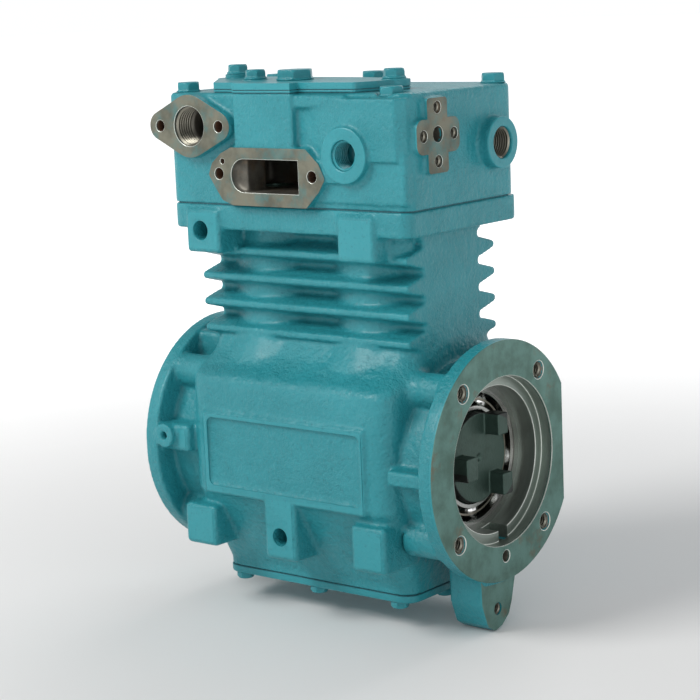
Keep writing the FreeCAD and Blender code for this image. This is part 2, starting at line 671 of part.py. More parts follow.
def crank_drive_end():
    web = along_x(WEB_R, (-199.0, -182.0))
    journal = along_x(26.0, (-243.0, -198.5))
    taper = Part.makeCone(14.5, 19.0, 36.0, Vector(-279.0, 0, 0), Vector(1, 0, 0))
    stub = along_x(11.0, (-300.0, -278.0))
    keyway = box((-271.0, -251.0), (-3.0, 3.0), (12.0, 24.0))
    return fuse([web, journal, taper, stub]).cut(keyway)


def drive_key():
    wheel = along_y(10.0, (-2.95, 2.95), -261.0, 11.5)
    return wheel.common(box((-270.9, -251.1), (-3.0, 3.0), (12.05, 21.0)))


def crank_nut():
    nut = hexagon(33.0, (0.0, 14.0), 0.0, 0.0)
    nut.rotate(Vector(0, 0, 0), Vector(0, 1, 0), -90.0)
    nut.translate(Vector(-280.5, 0, 0))
    return nut.cut(along_x(11.0, (-310.0, -270.0)))


def drive_bush():
    return ring_x(31.0, 26.04, (-240.0, -203.0))


def crankpin(x):
    side = 12.5 - RUN_GAP
    return along_x(CRANKPIN_R, (x - side, x + side))


def rod_whole(x):
    """The whole rod in one piece, before it is split at the crankpin."""
    big = along_x(26.0, (x - 11.0, x + 11.0))
    small = along_x(14.5, (x - 10.0, x + 10.0), 0.0, ROD_LENGTH)
    shank = prism_x([(-13.0, 18.0), (13.0, 18.0), (8.5, 100.0), (-8.5, 100.0)], (x - 8.0, x + 8.0))
    ears = soften(box((x - 9.5, x + 9.5), (-31.0, 31.0), (-13.0, 13.0)), "x", 5.0)
    body = fuse([big, small, shank, ears])
    flutes = []
    for side in (-1, 1):
        face = x + side * 8.0
        span = (face - 5.0, face) if side > 0 else (face, face + 5.0)
        outline = [(-8.0, 34.0), (8.0, 34.0), (4.5, 92.0), (-4.5, 92.0)]
        flutes.append(prism_x(outline, span))
    holes = [along_x(17.5, (x - 12.0, x + 12.0))]
    holes.append(along_x(WRIST_PIN_R + 0.02, (x - 12.0, x + 12.0), 0.0, ROD_LENGTH))
    for y in (-24.8, 24.8):
        holes.append(along_z(3.6, (-30.0, 30.0), x, y))
        holes.append(along_z(6.3, (13.0, 30.0), x, y))
        holes.append(along_z(6.3, (-30.0, -13.0), x, y))
    return cut(body, flutes + holes)


def rod_body(x):
    return rod_whole(x).common(box((x - 20.0, x + 20.0), (-40.0, 40.0), (0.05, 140.0)))


def rod_cap(x):
    return rod_whole(x).common(box((x - 20.0, x + 20.0), (-40.0, 40.0), (-40.0, -0.05)))


def rod_bolts(x):
    bolts = []
    for y in (-24.8, 24.8):
        shank = along_z(3.5, (-14.0, 17.5), x, y)
        head = hexagon(9.0, (-18.0, -13.05), x, y)
        nut = hexagon(9.0, (13.05, 18.0), x, y)
        bolts.append(fuse([shank, head, nut]))
    return Part.makeCompound(bolts)


def rod_shells(x):
    ring = ring_x(17.5, CRANKPIN_R + 0.03, (x - 10.5, x + 10.5))
    upper = ring.common(box((x - 20.0, x + 20.0), (-40.0, 40.0), (0.05, 40.0)))
    lower = ring.common(box((x - 20.0, x + 20.0), (-40.0, 40.0), (-40.0, -0.05)))
    return Part.makeCompound([upper, lower])


def wrist_pin(x):
    pin = along_x(WRIST_PIN_R, (x - 29.0, x + 29.0), 0.0, ROD_LENGTH)
    return pin.cut(along_x(5.5, (x - 30.0, x + 30.0), 0.0, ROD_LENGTH))


def ring_grooves():
    """Heights of the ring grooves below the crown, and their widths."""
    return ((6.0, 2.6), (13.0, 2.6), (20.0, 4.2))


def piston(x):
    crown = ROD_LENGTH + COMPRESSION_HEIGHT
    skirt = ROD_LENGTH - SKIRT
    body = along_z(BORE_R - 0.1, (skirt, crown), x, 0.0)
    inside = along_z(29.0, (skirt - 1.0, crown - 9.0), x, 0.0)
    inside = inside.cut(box((x - 30.0, x - 12.0), (-16.0, 16.0), (ROD_LENGTH - 15.0, crown)))
    inside = inside.cut(box((x + 12.0, x + 30.0), (-16.0, 16.0), (ROD_LENGTH - 15.0, crown)))
    tools = [inside, along_x(WRIST_PIN_R, (x - 40.0, x + 40.0), 0.0, ROD_LENGTH)]
    for depth, width in ring_grooves():
        z = (crown - depth - width, crown - depth)
        tools.append(ring_z(BORE_R + 1.0, BORE_R - 3.6, z, x, 0.0))
    return cut(body, tools)


def piston_rings(x):
    crown = ROD_LENGTH + COMPRESSION_HEIGHT
    rings = []
    for depth, width in ring_grooves():
        z = (crown - depth - width + 0.05, crown - depth - 0.05)
        ring = ring_z(BORE_R - 0.03, BORE_R - 3.4, z, x, 0.0)
        rings.append(ring.cut(box((x + 20.0, x + 40.0), (-0.5, 0.5), (z[0] - 1.0, z[1] + 1.0))))
    return Part.makeCompound(rings)


# ---------------------------------------------------------------- ball bearing

def ball_track():
    """The ring-shaped path that the balls run in, a little larger than they are."""
    middle = 0.5 * (BEARING_X[0] + BEARING_X[1])
    return Part.makeTorus(BALL_PITCH_R, BALL_R + BALL_GAP, Vector(middle, 0, 0), Vector(1, 0, 0))


def bearing_outer():
    return ring_x(RACE_R[3], RACE_R[2], BEARING_X).cut(ball_track())


def bearing_inner():
    race = ring_x(RACE_R[1], RACE_R[0], BEARING_X).cut(ball_track())
    bevel = Part.makeCone(RACE_R[0], RACE_R[0] + 1.6, 1.6, Vector(BEARING_X[1] - 1.6, 0, 0), Vector(1, 0, 0))
    return race.cut(bevel)


def ball_places():
    middle = 0.5 * (BEARING_X[0] + BEARING_X[1])
    places = []
    for number in range(BALL_COUNT):
        y, z = polar(BALL_PITCH_R, 360.0 * number / BALL_COUNT + BALL_START_ANGLE)
        places.append(Vector(middle, y, z))
    return places


def bearing_balls():
    return Part.makeCompound([Part.makeSphere(BALL_R, place) for place in ball_places()])


def bearing_cage():
    middle = 0.5 * (BEARING_X[0] + BEARING_X[1])
    hoop = ring_x(39.2, 37.9, (middle - 7.3, middle + 7.3))
    return cut(hoop, [Part.makeSphere(BALL_R + 0.05, place) for place in ball_places()])


def retaining_ring():
    ring = ring_x(48.9, 44.6, (BEARING_X[1] + 0.05, BEARING_X[1] + 1.9))
    gap = box((-30.0, -15.0), (30.0, 50.0), (-6.0, 6.0))
    gap.rotate(Vector(0, 0, 0), Vector(1, 0, 0), 118.0)
    return ring.cut(gap)


# ---------------------------------------------------------------- export

def cylinder_nodes(number, x, crankpin_z):
    """Everything that goes up and down in one cylinder, set at its crankpin's height."""
    pieces = {
        "crankpin": crankpin(x),
        "connecting_rod": rod_body(x),
        "rod_cap": rod_cap(x),
        "rod_bolts": rod_bolts(x),
        "rod_bearing_shells": rod_shells(x),
        "wrist_pin": wrist_pin(x),
        "piston": piston(x),
        "piston_rings": piston_rings(x),
    }
    for shape in pieces.values():
        shape.translate(Vector(0, 0, crankpin_z))
    return {f"{name}_{number}": shape for name, shape in pieces.items()}


def valve_nodes(number, x):
    return {
        f"inlet_valve_seat_{number}": inlet_valve_seat(x),
        f"inlet_valve_stop_{number}": inlet_valve_stop(x),
        f"inlet_valve_disc_{number}": valve_disc(x, INLET_VALVE_Y, (172.2, 173.4)),
        f"discharge_valve_seat_{number}": outlet_valve_seat(x),
        f"discharge_valve_stop_{number}": outlet_valve_stop(x),
        f"discharge_valve_disc_{number}": valve_disc(x, OUTLET_VALVE_Y, (174.2, 175.4)),
    }


def build():
    nodes = {
        "crankcase_block": crankcase_block(),
        "base_cover": base_cover(),
        "base_gasket": base_gasket(),
        "base_bolts": base_bolts(),
        "head_gasket": head_gasket(),
        "cylinder_head": cylinder_head(),
        "head_bolts": head_bolts(),
        "cover_gasket_lower": cover_plate(0, 0.6),
        "cover_spacer_plate": cover_plate(1, 0.0),
        "cover_gasket_upper": cover_plate(2, 0.6),
        "head_cover": head_cover(),
        "cover_bolts": cover_bolts(),
        "hex_cap": hex_cap(),
        "crank_drive_end": crank_drive_end(),
        "crank_centre_web": crank_centre_web(),
        "crank_pump_end": crank_pump_end(),
        "drive_key": drive_key(),
        "crank_nut": crank_nut(),
        "drive_bush": drive_bush(),
        "bearing_outer_race": bearing_outer(),
        "bearing_inner_race": bearing_inner(),
        "bearing_balls": bearing_balls(),
        "bearing_cage": bearing_cage(),
        "retaining_ring": retaining_ring(),
    }
    for number, (x, crankpin_z) in enumerate(zip(CYLINDER_X, (THROW, -THROW)), start=1):
        nodes.update(cylinder_nodes(number, x, crankpin_z))
        nodes.update(valve_nodes(number, x))
    return nodes


os.makedirs("parts", exist_ok=True)
for node_name, node_shape in build().items():
    print(node_name, node_shape.isValid(), len(node_shape.Solids), round(node_shape.Volume / 1000.0, 2))
    node_shape.exportStep(f"parts/{node_name}.step")
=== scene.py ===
"""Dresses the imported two-cylinder air compressor: cast skins, machined faces, threads, bolts and bearing."""

import json
import logging
import math
from contextlib import contextmanager
from dataclasses import dataclass, field
from enum import Enum
from typing import Callable, Iterator, Sequence

import bpy
from mathutils import Matrix, Vector


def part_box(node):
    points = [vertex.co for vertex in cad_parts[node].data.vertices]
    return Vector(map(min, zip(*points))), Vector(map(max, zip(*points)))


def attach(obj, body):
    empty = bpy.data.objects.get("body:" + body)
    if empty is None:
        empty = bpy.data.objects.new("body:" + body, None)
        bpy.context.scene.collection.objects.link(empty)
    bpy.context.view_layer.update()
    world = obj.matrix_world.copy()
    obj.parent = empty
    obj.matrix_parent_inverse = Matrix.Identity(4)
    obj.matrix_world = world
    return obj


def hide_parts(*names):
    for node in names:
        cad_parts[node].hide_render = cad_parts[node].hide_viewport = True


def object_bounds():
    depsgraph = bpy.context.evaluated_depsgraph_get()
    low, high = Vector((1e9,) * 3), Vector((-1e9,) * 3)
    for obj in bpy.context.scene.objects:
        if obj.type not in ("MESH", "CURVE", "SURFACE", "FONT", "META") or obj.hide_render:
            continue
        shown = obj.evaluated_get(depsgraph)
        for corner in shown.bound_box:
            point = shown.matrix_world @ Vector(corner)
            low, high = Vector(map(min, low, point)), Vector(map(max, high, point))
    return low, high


MM = 0.001
CREASE = 20.0
LOG = logging.getLogger("compressor")
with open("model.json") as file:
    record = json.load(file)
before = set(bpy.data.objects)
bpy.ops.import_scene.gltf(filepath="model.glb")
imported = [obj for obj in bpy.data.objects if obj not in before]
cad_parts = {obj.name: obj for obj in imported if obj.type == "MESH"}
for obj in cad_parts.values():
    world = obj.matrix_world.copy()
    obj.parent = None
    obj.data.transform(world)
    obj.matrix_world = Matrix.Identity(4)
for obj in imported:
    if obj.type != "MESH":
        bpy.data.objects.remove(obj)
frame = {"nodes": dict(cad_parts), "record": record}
CAD_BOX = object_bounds()


class Axis(Enum):
    """A row axis."""

    X = 0
    Y = 1
    Z = 2

    @property
    def unit(self) -> Vector:
        """The axis as a unit vector."""
        return Vector([1.0 if place == self.value else 0.0 for place in range(3)])


class Body(Enum):
    """The moving groups of the compressor."""

    HOUSING = "housing"
    CRANK = "crankshaft"
    CAGE = "ball_cage"


# ---------------------------------------------------------------- modelling bench


def clear_selection() -> None:
    """Deselects everything, so that an operator acts only on what is chosen next."""
    if bpy.context.view_layer.objects.active and bpy.context.mode != "OBJECT":
        bpy.ops.object.mode_set(mode="OBJECT")
    bpy.ops.object.select_all(action="DESELECT")


def activate(piece: bpy.types.Object) -> bpy.types.Object:
    """Selects one piece alone and makes it the active one.

    Args:
        piece: The object to work on.

    Returns:
        The same object.
    """
    clear_selection()
    piece.select_set(True)
    bpy.context.view_layer.objects.active = piece
    return piece


@contextmanager
def editing(piece: bpy.types.Object, mode: str = "FACE") -> Iterator[None]:
    """Edit mode on one piece, left again when the block ends.

    Args:
        piece: The object to edit.
        mode: VERT, EDGE or FACE selection.
    """
    activate(piece)
    bpy.context.tool_settings.mesh_select_mode = [mode == kind for kind in ("VERT", "EDGE", "FACE")]
    bpy.ops.object.mode_set(mode="EDIT")
    try:
        yield
    finally:
        bpy.ops.object.mode_set(mode="OBJECT")


def settle(piece: bpy.types.Object) -> bpy.types.Object:
    """Moves an object's place into its mesh, so that it ends at the origin."""
    activate(piece)
    bpy.ops.object.transform_apply(location=True, rotation=True, scale=True)
    return piece


def apply_modifier(piece: bpy.types.Object, kind: str, **settings: object) -> bpy.types.Object:
    """Adds a modifier with the given settings and applies it.

    Args:
        piece: The object to change.
        kind: The modifier's type.
        settings: Its properties.

    Returns:
        The same object.
    """
    activate(piece)
    modifier = piece.modifiers.new(kind.lower(), kind)
    for name, value in settings.items():
        setattr(modifier, name, value)
    bpy.ops.object.modifier_apply(modifier=modifier.name)
    return piece


def select_faces(piece: bpy.types.Object, wanted: Callable[[Vector, Vector], bool]) -> None:
    """Selects faces by place and normal, outside edit mode.

    Args:
        piece: The object whose faces are chosen.
        wanted: Says yes or no from a face's centre and normal.
    """
    mesh = piece.data
    for edge in mesh.edges:
        edge.select = False
    for vertex in mesh.vertices:
        vertex.select = False
    for face in mesh.polygons:
        face.select = wanted(face.center, face.normal)


def join_flats(piece: bpy.types.Object, degrees: float) -> None:
    """Runs neighbouring faces of one plane together.

    Args:
        piece: The object to change.
        degrees: How far the faces may differ.
    """
    with editing(piece):
        bpy.ops.mesh.select_all(action="SELECT")
        bpy.ops.mesh.dissolve_limited(angle_limit=math.radians(degrees))


def near_any(across: float, along: float, spots: Sequence[tuple], reach: float) -> bool:
    """Whether a point lies within reach of one of several spots.

    Args:
        across: The point's first coordinate in metres.
        along: Its second coordinate in metres.
        spots: Pairs in millimetres.
        reach: Distance in metres.

    Returns:
        True or false.
    """
    return any(math.hypot(across - u * MM, along - v * MM) < reach for u, v in spots)


def smooth_by_angle(piece: bpy.types.Object, degrees: float = CREASE) -> bpy.types.Object:
    """Shades a piece smooth apart from edges sharper than the angle."""
    activate(piece)
    bpy.ops.object.shade_smooth_by_angle(angle=math.radians(degrees))
    return piece


def copy_of(node: str, name: str) -> bpy.types.Object:
    """A separate merged copy of a frame node's mesh, to be worked on.

    Args:
        node: The node's name.
        name: The new piece's name.

    Returns:
        The new object.
    """
    piece = bpy.data.objects.new(name, frame["nodes"][node].data.copy())
    piece.data.name = name
    piece.data.materials.clear()
    bpy.context.scene.collection.objects.link(piece)
    with editing(piece, "VERT"):
        bpy.ops.mesh.select_all(action="SELECT")
        bpy.ops.mesh.remove_doubles(threshold=0.004 * MM)
    if piece.data.has_custom_normals:
        activate(piece)
        bpy.ops.mesh.customdata_custom_splitnormals_clear()
    return piece


def rod(name: str, radius: float, start: Vector, end: Vector, sides: int = 64) -> bpy.types.Object:
    """A round bar between two points.

    Args:
        name: The object's name.
        radius: Its radius in metres.
        start: Centre of one end.
        end: Centre of the other end.
        sides: Number of facets.

    Returns:
        The new object, settled at the origin.
    """
    clear_selection()
    run = end - start
    turn = Vector((0, 0, 1)).rotation_difference(run).to_euler()
    bpy.ops.mesh.primitive_cylinder_add(
        vertices=sides, radius=radius, depth=run.length, location=(start + end) / 2, rotation=turn)
    piece = bpy.context.object
    piece.name = piece.data.name = name
    return settle(piece)


def carve(piece: bpy.types.Object, cutters: Sequence[bpy.types.Object]) -> bpy.types.Object:
    """Cuts each cutter out of a piece and removes the cutters.

    Args:
        piece: The object to cut.
        cutters: Closed objects to take away.

    Returns:
        The same object.
    """
    for cutter in cutters:
        apply_modifier(piece, "BOOLEAN", operation="DIFFERENCE", solver="EXACT", object=cutter)
        bpy.data.objects.remove(cutter)
    return piece


def keep_faces(piece: bpy.types.Object, wanted: Callable[[Vector, Vector], bool]) -> bpy.types.Object:
    """Deletes every face that isn't wanted, with the edges and points it leaves loose."""
    select_faces(piece, lambda centre, normal: not wanted(centre, normal))
    with editing(piece):
        bpy.ops.mesh.delete(type="FACE")
    return piece


def dress(piece: bpy.types.Object, *materials: bpy.types.Material) -> bpy.types.Object:
    """Gives a piece its materials, in slot order."""
    piece.data.materials.clear()
    for material in materials:
        piece.data.materials.append(material)
    return piece


def place_on(piece: bpy.types.Object, body: Body, slot: str, *nodes: str) -> bpy.types.Object:
    """Parents a finished piece to the empty of its body and hides the frame nodes it stands for.

    Args:
        piece: The finished object.
        body: The group it moves with.
        slot: The record's material slot. Not used.
        nodes: The frame nodes it stands for.

    Returns:
        The same object.
    """
    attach(piece, body.value)
    if nodes:
        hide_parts(*nodes)
    LOG.info("%s: %d faces on %s", piece.name, len(piece.data.polygons), body.value)
    return piece


@dataclass(frozen=True)
class Mount:
    """One interface of the record, in metres."""

    place: Vector
    axis: Vector
    radius: float

    @classmethod
    def named(cls, name: str) -> "Mount":
        """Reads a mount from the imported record.

        Args:
            name: The mount's name.

        Returns:
            The mount with its place and radius in metres.
        """
        row = next(m for m in frame["record"]["mounts"] if m["name"] == name)
        dims = row.get("dims") or {}
        radius = dims.get("r_mm", dims.get("hole_r_mm", 0.0)) * MM
        return cls(Vector(row["pos_m"]), Vector(row["axis"]), radius)


# ---------------------------------------------------------------- shader maths


class Sock:
    """A shader socket that can be used in Python arithmetic."""

    def __init__(self, paint: "Paint", socket: bpy.types.NodeSocket) -> None:
        """Wraps a socket.

        Args:
            paint: The material being built.
            socket: The output socket to wrap.
        """
        self.paint = paint
        self.socket = socket

    def _math(self, operation: str, left: object, right: object) -> "Sock":
        """Adds one Math node."""
        return self.paint.node("ShaderNodeMath", {"operation": operation}, {0: left, 1: right})

    def __add__(self, other: object) -> "Sock":
        """Sum."""
        return self._math("ADD", self, other)

    __radd__ = __add__

    def __sub__(self, other: object) -> "Sock":
        """Difference."""
        return self._math("SUBTRACT", self, other)

    def __rsub__(self, other: object) -> "Sock":
        """Difference with the operands the other way round."""
        return self._math("SUBTRACT", other, self)

    def __mul__(self, other: object) -> "Sock":
        """Product."""
        return self._math("MULTIPLY", self, other)

    __rmul__ = __mul__

    def __truediv__(self, other: object) -> "Sock":
        """Quotient."""
        return self._math("DIVIDE", self, other)

    def __pow__(self, other: object) -> "Sock":
        """Power."""
        return self._math("POWER", self, other)

    def step(self, low: float, high: float) -> "Sock":
        """A smooth rise from 0 at low to 1 at high.

        Args:
            low: Where the rise starts.
            high: Where it ends.

        Returns:
            A socket from 0 to 1.
        """
        return self.paint.node(
            "ShaderNodeMapRange", {"interpolation_type": "SMOOTHSTEP"},
            {"Value": self, "From Min": low, "From Max": high})


class Paint:
    """Builds one material from nodes."""

    def __init__(self, name: str) -> None:
        """Starts an empty material.

        Args:
            name: The material's name.
        """
        self.material = bpy.data.materials.new(name)
        self.material.use_nodes = True
        self.tree = self.material.node_tree
        self.tree.nodes.clear()
        self.shader = self.tree.nodes.new("ShaderNodeBsdfPrincipled")
        output = self.tree.nodes.new("ShaderNodeOutputMaterial")
        self.tree.links.new(self.shader.outputs[0], output.inputs["Surface"])
        self.place = self.node("ShaderNodeTexCoord", {}, {}, "Object")

    def node(self, kind: str, settings: dict, inputs: dict, output: object = 0) -> Sock:
        """Adds any node.

        Args:
            kind: The node's type.
            settings: Properties, set before the inputs.
            inputs: Values or sockets by input name or index.
            output: Which output to hand back.

        Returns:
            The chosen output.
        """
        made = self.tree.nodes.new(kind)
        for name, value in settings.items():
            setattr(made, name, value)
        for name, value in inputs.items():
            self._feed(made.inputs[name], value)
        return Sock(self, made.outputs[output])

    def _feed(self, target: bpy.types.NodeSocket, value: object) -> None:
        """Links a socket or sets a value."""
        if isinstance(value, Sock):
            self.tree.links.new(value.socket, target)
        else:
            target.default_value = value

    def set(self, **values: object) -> None:
        """Feeds the surface shader; underscores in names stand for spaces."""
        for name, value in values.items():
            self._feed(self.shader.inputs[name.replace("_", " ")], value)

    def noise(self, size: float, detail: float = 3.0, rough: float = 0.5, where: Sock | None = None) -> Sock:
        """Cloudy noise from 0 to 1.

        Args:
            size: The size of a cloud in metres.
            detail: Number of finer layers.
            rough: How strong the finer layers are.
            where: Coordinates, or None for the object's own.

        Returns:
            The noise value.
        """
        return self.node(
            "ShaderNodeTexNoise", {"noise_dimensions": "3D"},
            {"Vector": where or self.place, "Scale": 1.0 / size, "Detail": detail, "Roughness": rough})

    def mix(self, share: object, first: object, second: object) -> Sock:
        """Mixes two colours.

        Args:
            share: How much of the second.
            first: Colour or socket.
            second: Colour or socket.

        Returns:
            The mixed colour.
        """
        made = self.tree.nodes.new("ShaderNodeMix")
        made.data_type = "RGBA"
        self._feed(made.inputs["Factor"], share)
        for index, value in ((6, first), (7, second)):
            self._feed(made.inputs[index], (*value, 1.0) if isinstance(value, tuple) else value)
        return Sock(self, made.outputs[2])

    def bump(self, height: Sock, depth: float, under: Sock | None = None) -> Sock:
        """A bump from a height.

        Args:
            height: The height, about 0 to 1.
            depth: How far 1 stands out, in metres.
            under: A bump below this one.

        Returns:
            The normal.
        """
        inputs = {"Height": height, "Distance": depth, "Strength": 1.0}
        if under is not None:
            inputs["Normal"] = under
        return self.node("ShaderNodeBump", {}, inputs)

    def crevice(self) -> Sock:
        """Below 0.5 in hollows and above it on edges, from the shape of the mesh."""
        return self.node("ShaderNodeNewGeometry", {}, {}, "Pointiness")


@dataclass(frozen=True)
class CastEnamel:
    """Teal enamel sprayed thick over a sand-cast skin, with painted highlight on convex edges and painted
    shade in hollows.
    """

    name: str = "teal_enamel"
    colour: tuple = (0.017, 0.215, 0.250)
    # light and dark are a lit and a shaded copy of the enamel colour: they give random mottling and specks,
    # and also the painted highlight and painted shade below
    light: tuple = (0.028, 0.268, 0.310)
    dark: tuple = (0.006, 0.088, 0.112)
    grain: float = 0.00085
    swell: float = 0.0012

    def build(self) -> bpy.types.Material:
        """Makes the material.

        Returns:
            The finished material.
        """
        paint = Paint(self.name)
        cloud = paint.noise(0.055, 3.0, 0.55)
        speck = paint.noise(0.0022, 3.0, 0.6)
        edge = paint.crevice()
        tone = paint.mix(cloud.step(0.38, 0.70) * 0.6, self.colour, self.light)
        # Painted highlight: convex edges are lightened towards the light tone.
        tone = paint.mix(edge.step(0.505, 0.58) * 0.65, tone, self.light)
        # Painted shade: hollows and inside corners are darkened towards the dark tone.
        tone = paint.mix(edge.step(0.495, 0.41) * 0.80, tone, self.dark)
        tone = paint.mix(speck.step(0.58, 0.74) * 0.38, tone, self.dark)
        tone = paint.mix(speck.step(0.44, 0.30) * 0.50, tone, self.light)
        rough = paint.noise(0.030, 2.0, 0.5).step(0.46, 0.62)
        peel = paint.noise(0.0027, 3.0, 0.55)
        grit = paint.noise(0.0011, 3.0, 0.60) * (0.35 + rough * 0.9)
        wave = paint.noise(0.008, 2.0, 0.5)
        under = paint.bump(peel, self.grain, paint.bump(wave, self.swell))
        paint.set(
            Base_Color=tone,
            Roughness=0.29 + speck * 0.14 + cloud * 0.08,
            Normal=paint.bump(grit, self.grain * 0.55, under),
            Specular_IOR_Level=0.34, Coat_Roughness=0.16, Coat_Weight=0.12)
        return paint.material


@dataclass(frozen=True)
class MachinedIron:
    """A face cut flat on grey iron: fine feed marks, a film of oil and patches of brown stain."""

    name: str
    colour: tuple = (0.118, 0.235, 0.205)
    shade: tuple = (0.075, 0.148, 0.122)
    rust: tuple = (0.150, 0.095, 0.050)
    feed: float = 0.0011
    metallic: float = 0.55
    stain_from: float = 0.56
    overspray: float = 0.0
    mist: tuple = (0.030, 0.200, 0.215)

    def build(self) -> bpy.types.Material:
        """Makes the material.

        Returns:
            The finished material.
        """
        paint = Paint(self.name)
        cloud = paint.noise(0.018, 4.0, 0.6)
        grain = paint.noise(0.0013, 3.0, 0.6)
        stain = paint.noise(0.024, 5.0, 0.65)
        tone = paint.mix(cloud.step(0.35, 0.70), self.colour, self.shade)
        tone = paint.mix(stain.step(self.stain_from, self.stain_from + 0.14) * 0.6, tone, self.rust)
        if self.overspray:
            drift = paint.noise(0.013, 4.0, 0.65).step(0.44, 0.68) * self.overspray
            tone = paint.mix(drift, tone, self.mist)
        marks = paint.noise(self.feed, 2.0, 0.5)
        paint.set(
            Base_Color=tone, Metallic=self.metallic,
            Roughness=0.36 + cloud * 0.16 + grain * 0.12,
            Normal=paint.bump(marks, 0.00007))
        return paint.material


@dataclass(frozen=True)
class TurnedIron:
    """Bored iron: rings left by the tool round the crankshaft's axis, bright where the light catches them."""

    name: str = "bored_iron"
    colour: tuple = (0.330, 0.380, 0.345)
    shade: tuple = (0.210, 0.245, 0.215)
    pitch: float = 0.0016

    def build(self) -> bpy.types.Material:
        """Makes the material.

        Returns:
            The finished material.
        """
        paint = Paint(self.name)
        parts = [paint.node("ShaderNodeSeparateXYZ", {}, {0: paint.place}, axis.value) for axis in Axis]
        radius = (parts[1] * parts[1] + parts[2] * parts[2]) ** 0.5
        where = paint.node("ShaderNodeCombineXYZ", {}, {0: parts[0], 1: radius})
        rings = paint.noise(self.pitch, 3.0, 0.6, where)
        bands = paint.noise(0.0065, 2.0, 0.5, where)
        cloud = paint.noise(0.020, 4.0, 0.6)
        tone = paint.mix(bands.step(0.35, 0.70) * 0.6, self.colour, self.shade)
        tone = paint.mix(cloud.step(0.5, 0.75) * 0.5, tone, self.shade)
        paint.set(
            Base_Color=tone, Metallic=0.85,
            Roughness=0.25 + rings * 0.14 + cloud * 0.08,
            Normal=paint.bump(rings, 0.000025))
        return paint.material


@dataclass(frozen=True)
class Steel:
    """Bare steel of one colour and polish."""

    name: str
    colour: tuple
    roughness: float
    grain: float = 0.0012
    depth: float = 0.00003
    metallic: float = 1.0
    blotch: float = 0.25
    edge_highlight: float = 0.0

    def build(self) -> bpy.types.Material:
        """Makes the material.

        Returns:
            The finished material.
        """
        paint = Paint(self.name)
        cloud = paint.noise(0.012, 4.0, 0.6)
        fine = paint.noise(self.grain, 3.0, 0.55)
        dull = tuple(0.45 * part for part in self.colour)
        bright = tuple(min(1.0, 2.6 * part) for part in self.colour)
        tone = paint.mix(cloud.step(0.45, 0.75) * self.blotch, self.colour, dull)
        # Painted highlight: convex edges are lightened towards a bright copy of the colour.
        if self.edge_highlight:
            tone = paint.mix(paint.crevice().step(0.53, 0.62) * self.edge_highlight, tone, bright)
        paint.set(
            Base_Color=tone,
            Metallic=self.metallic,
            Roughness=self.roughness + fine * 0.10,
            Normal=paint.bump(fine, self.depth))
        return paint.material


@dataclass(frozen=True)
class Fibre:
    """Pressed gasket fibre, darkened by paint that has crept over its edge."""

    name: str = "gasket_fibre"
    colour: tuple = (0.028, 0.130, 0.158)
    speck: tuple = (0.016, 0.070, 0.086)

    def build(self) -> bpy.types.Material:
        """Makes the material.

        Returns:
            The finished material.
        """
        paint = Paint(self.name)
        strands = paint.noise(0.0009, 4.0, 0.7)
        paint.set(
            Base_Color=paint.mix(strands.step(0.4, 0.7), self.colour, self.speck),
            Roughness=0.62 + strands * 0.2,
            Normal=paint.bump(strands, 0.00008))
        return paint.material


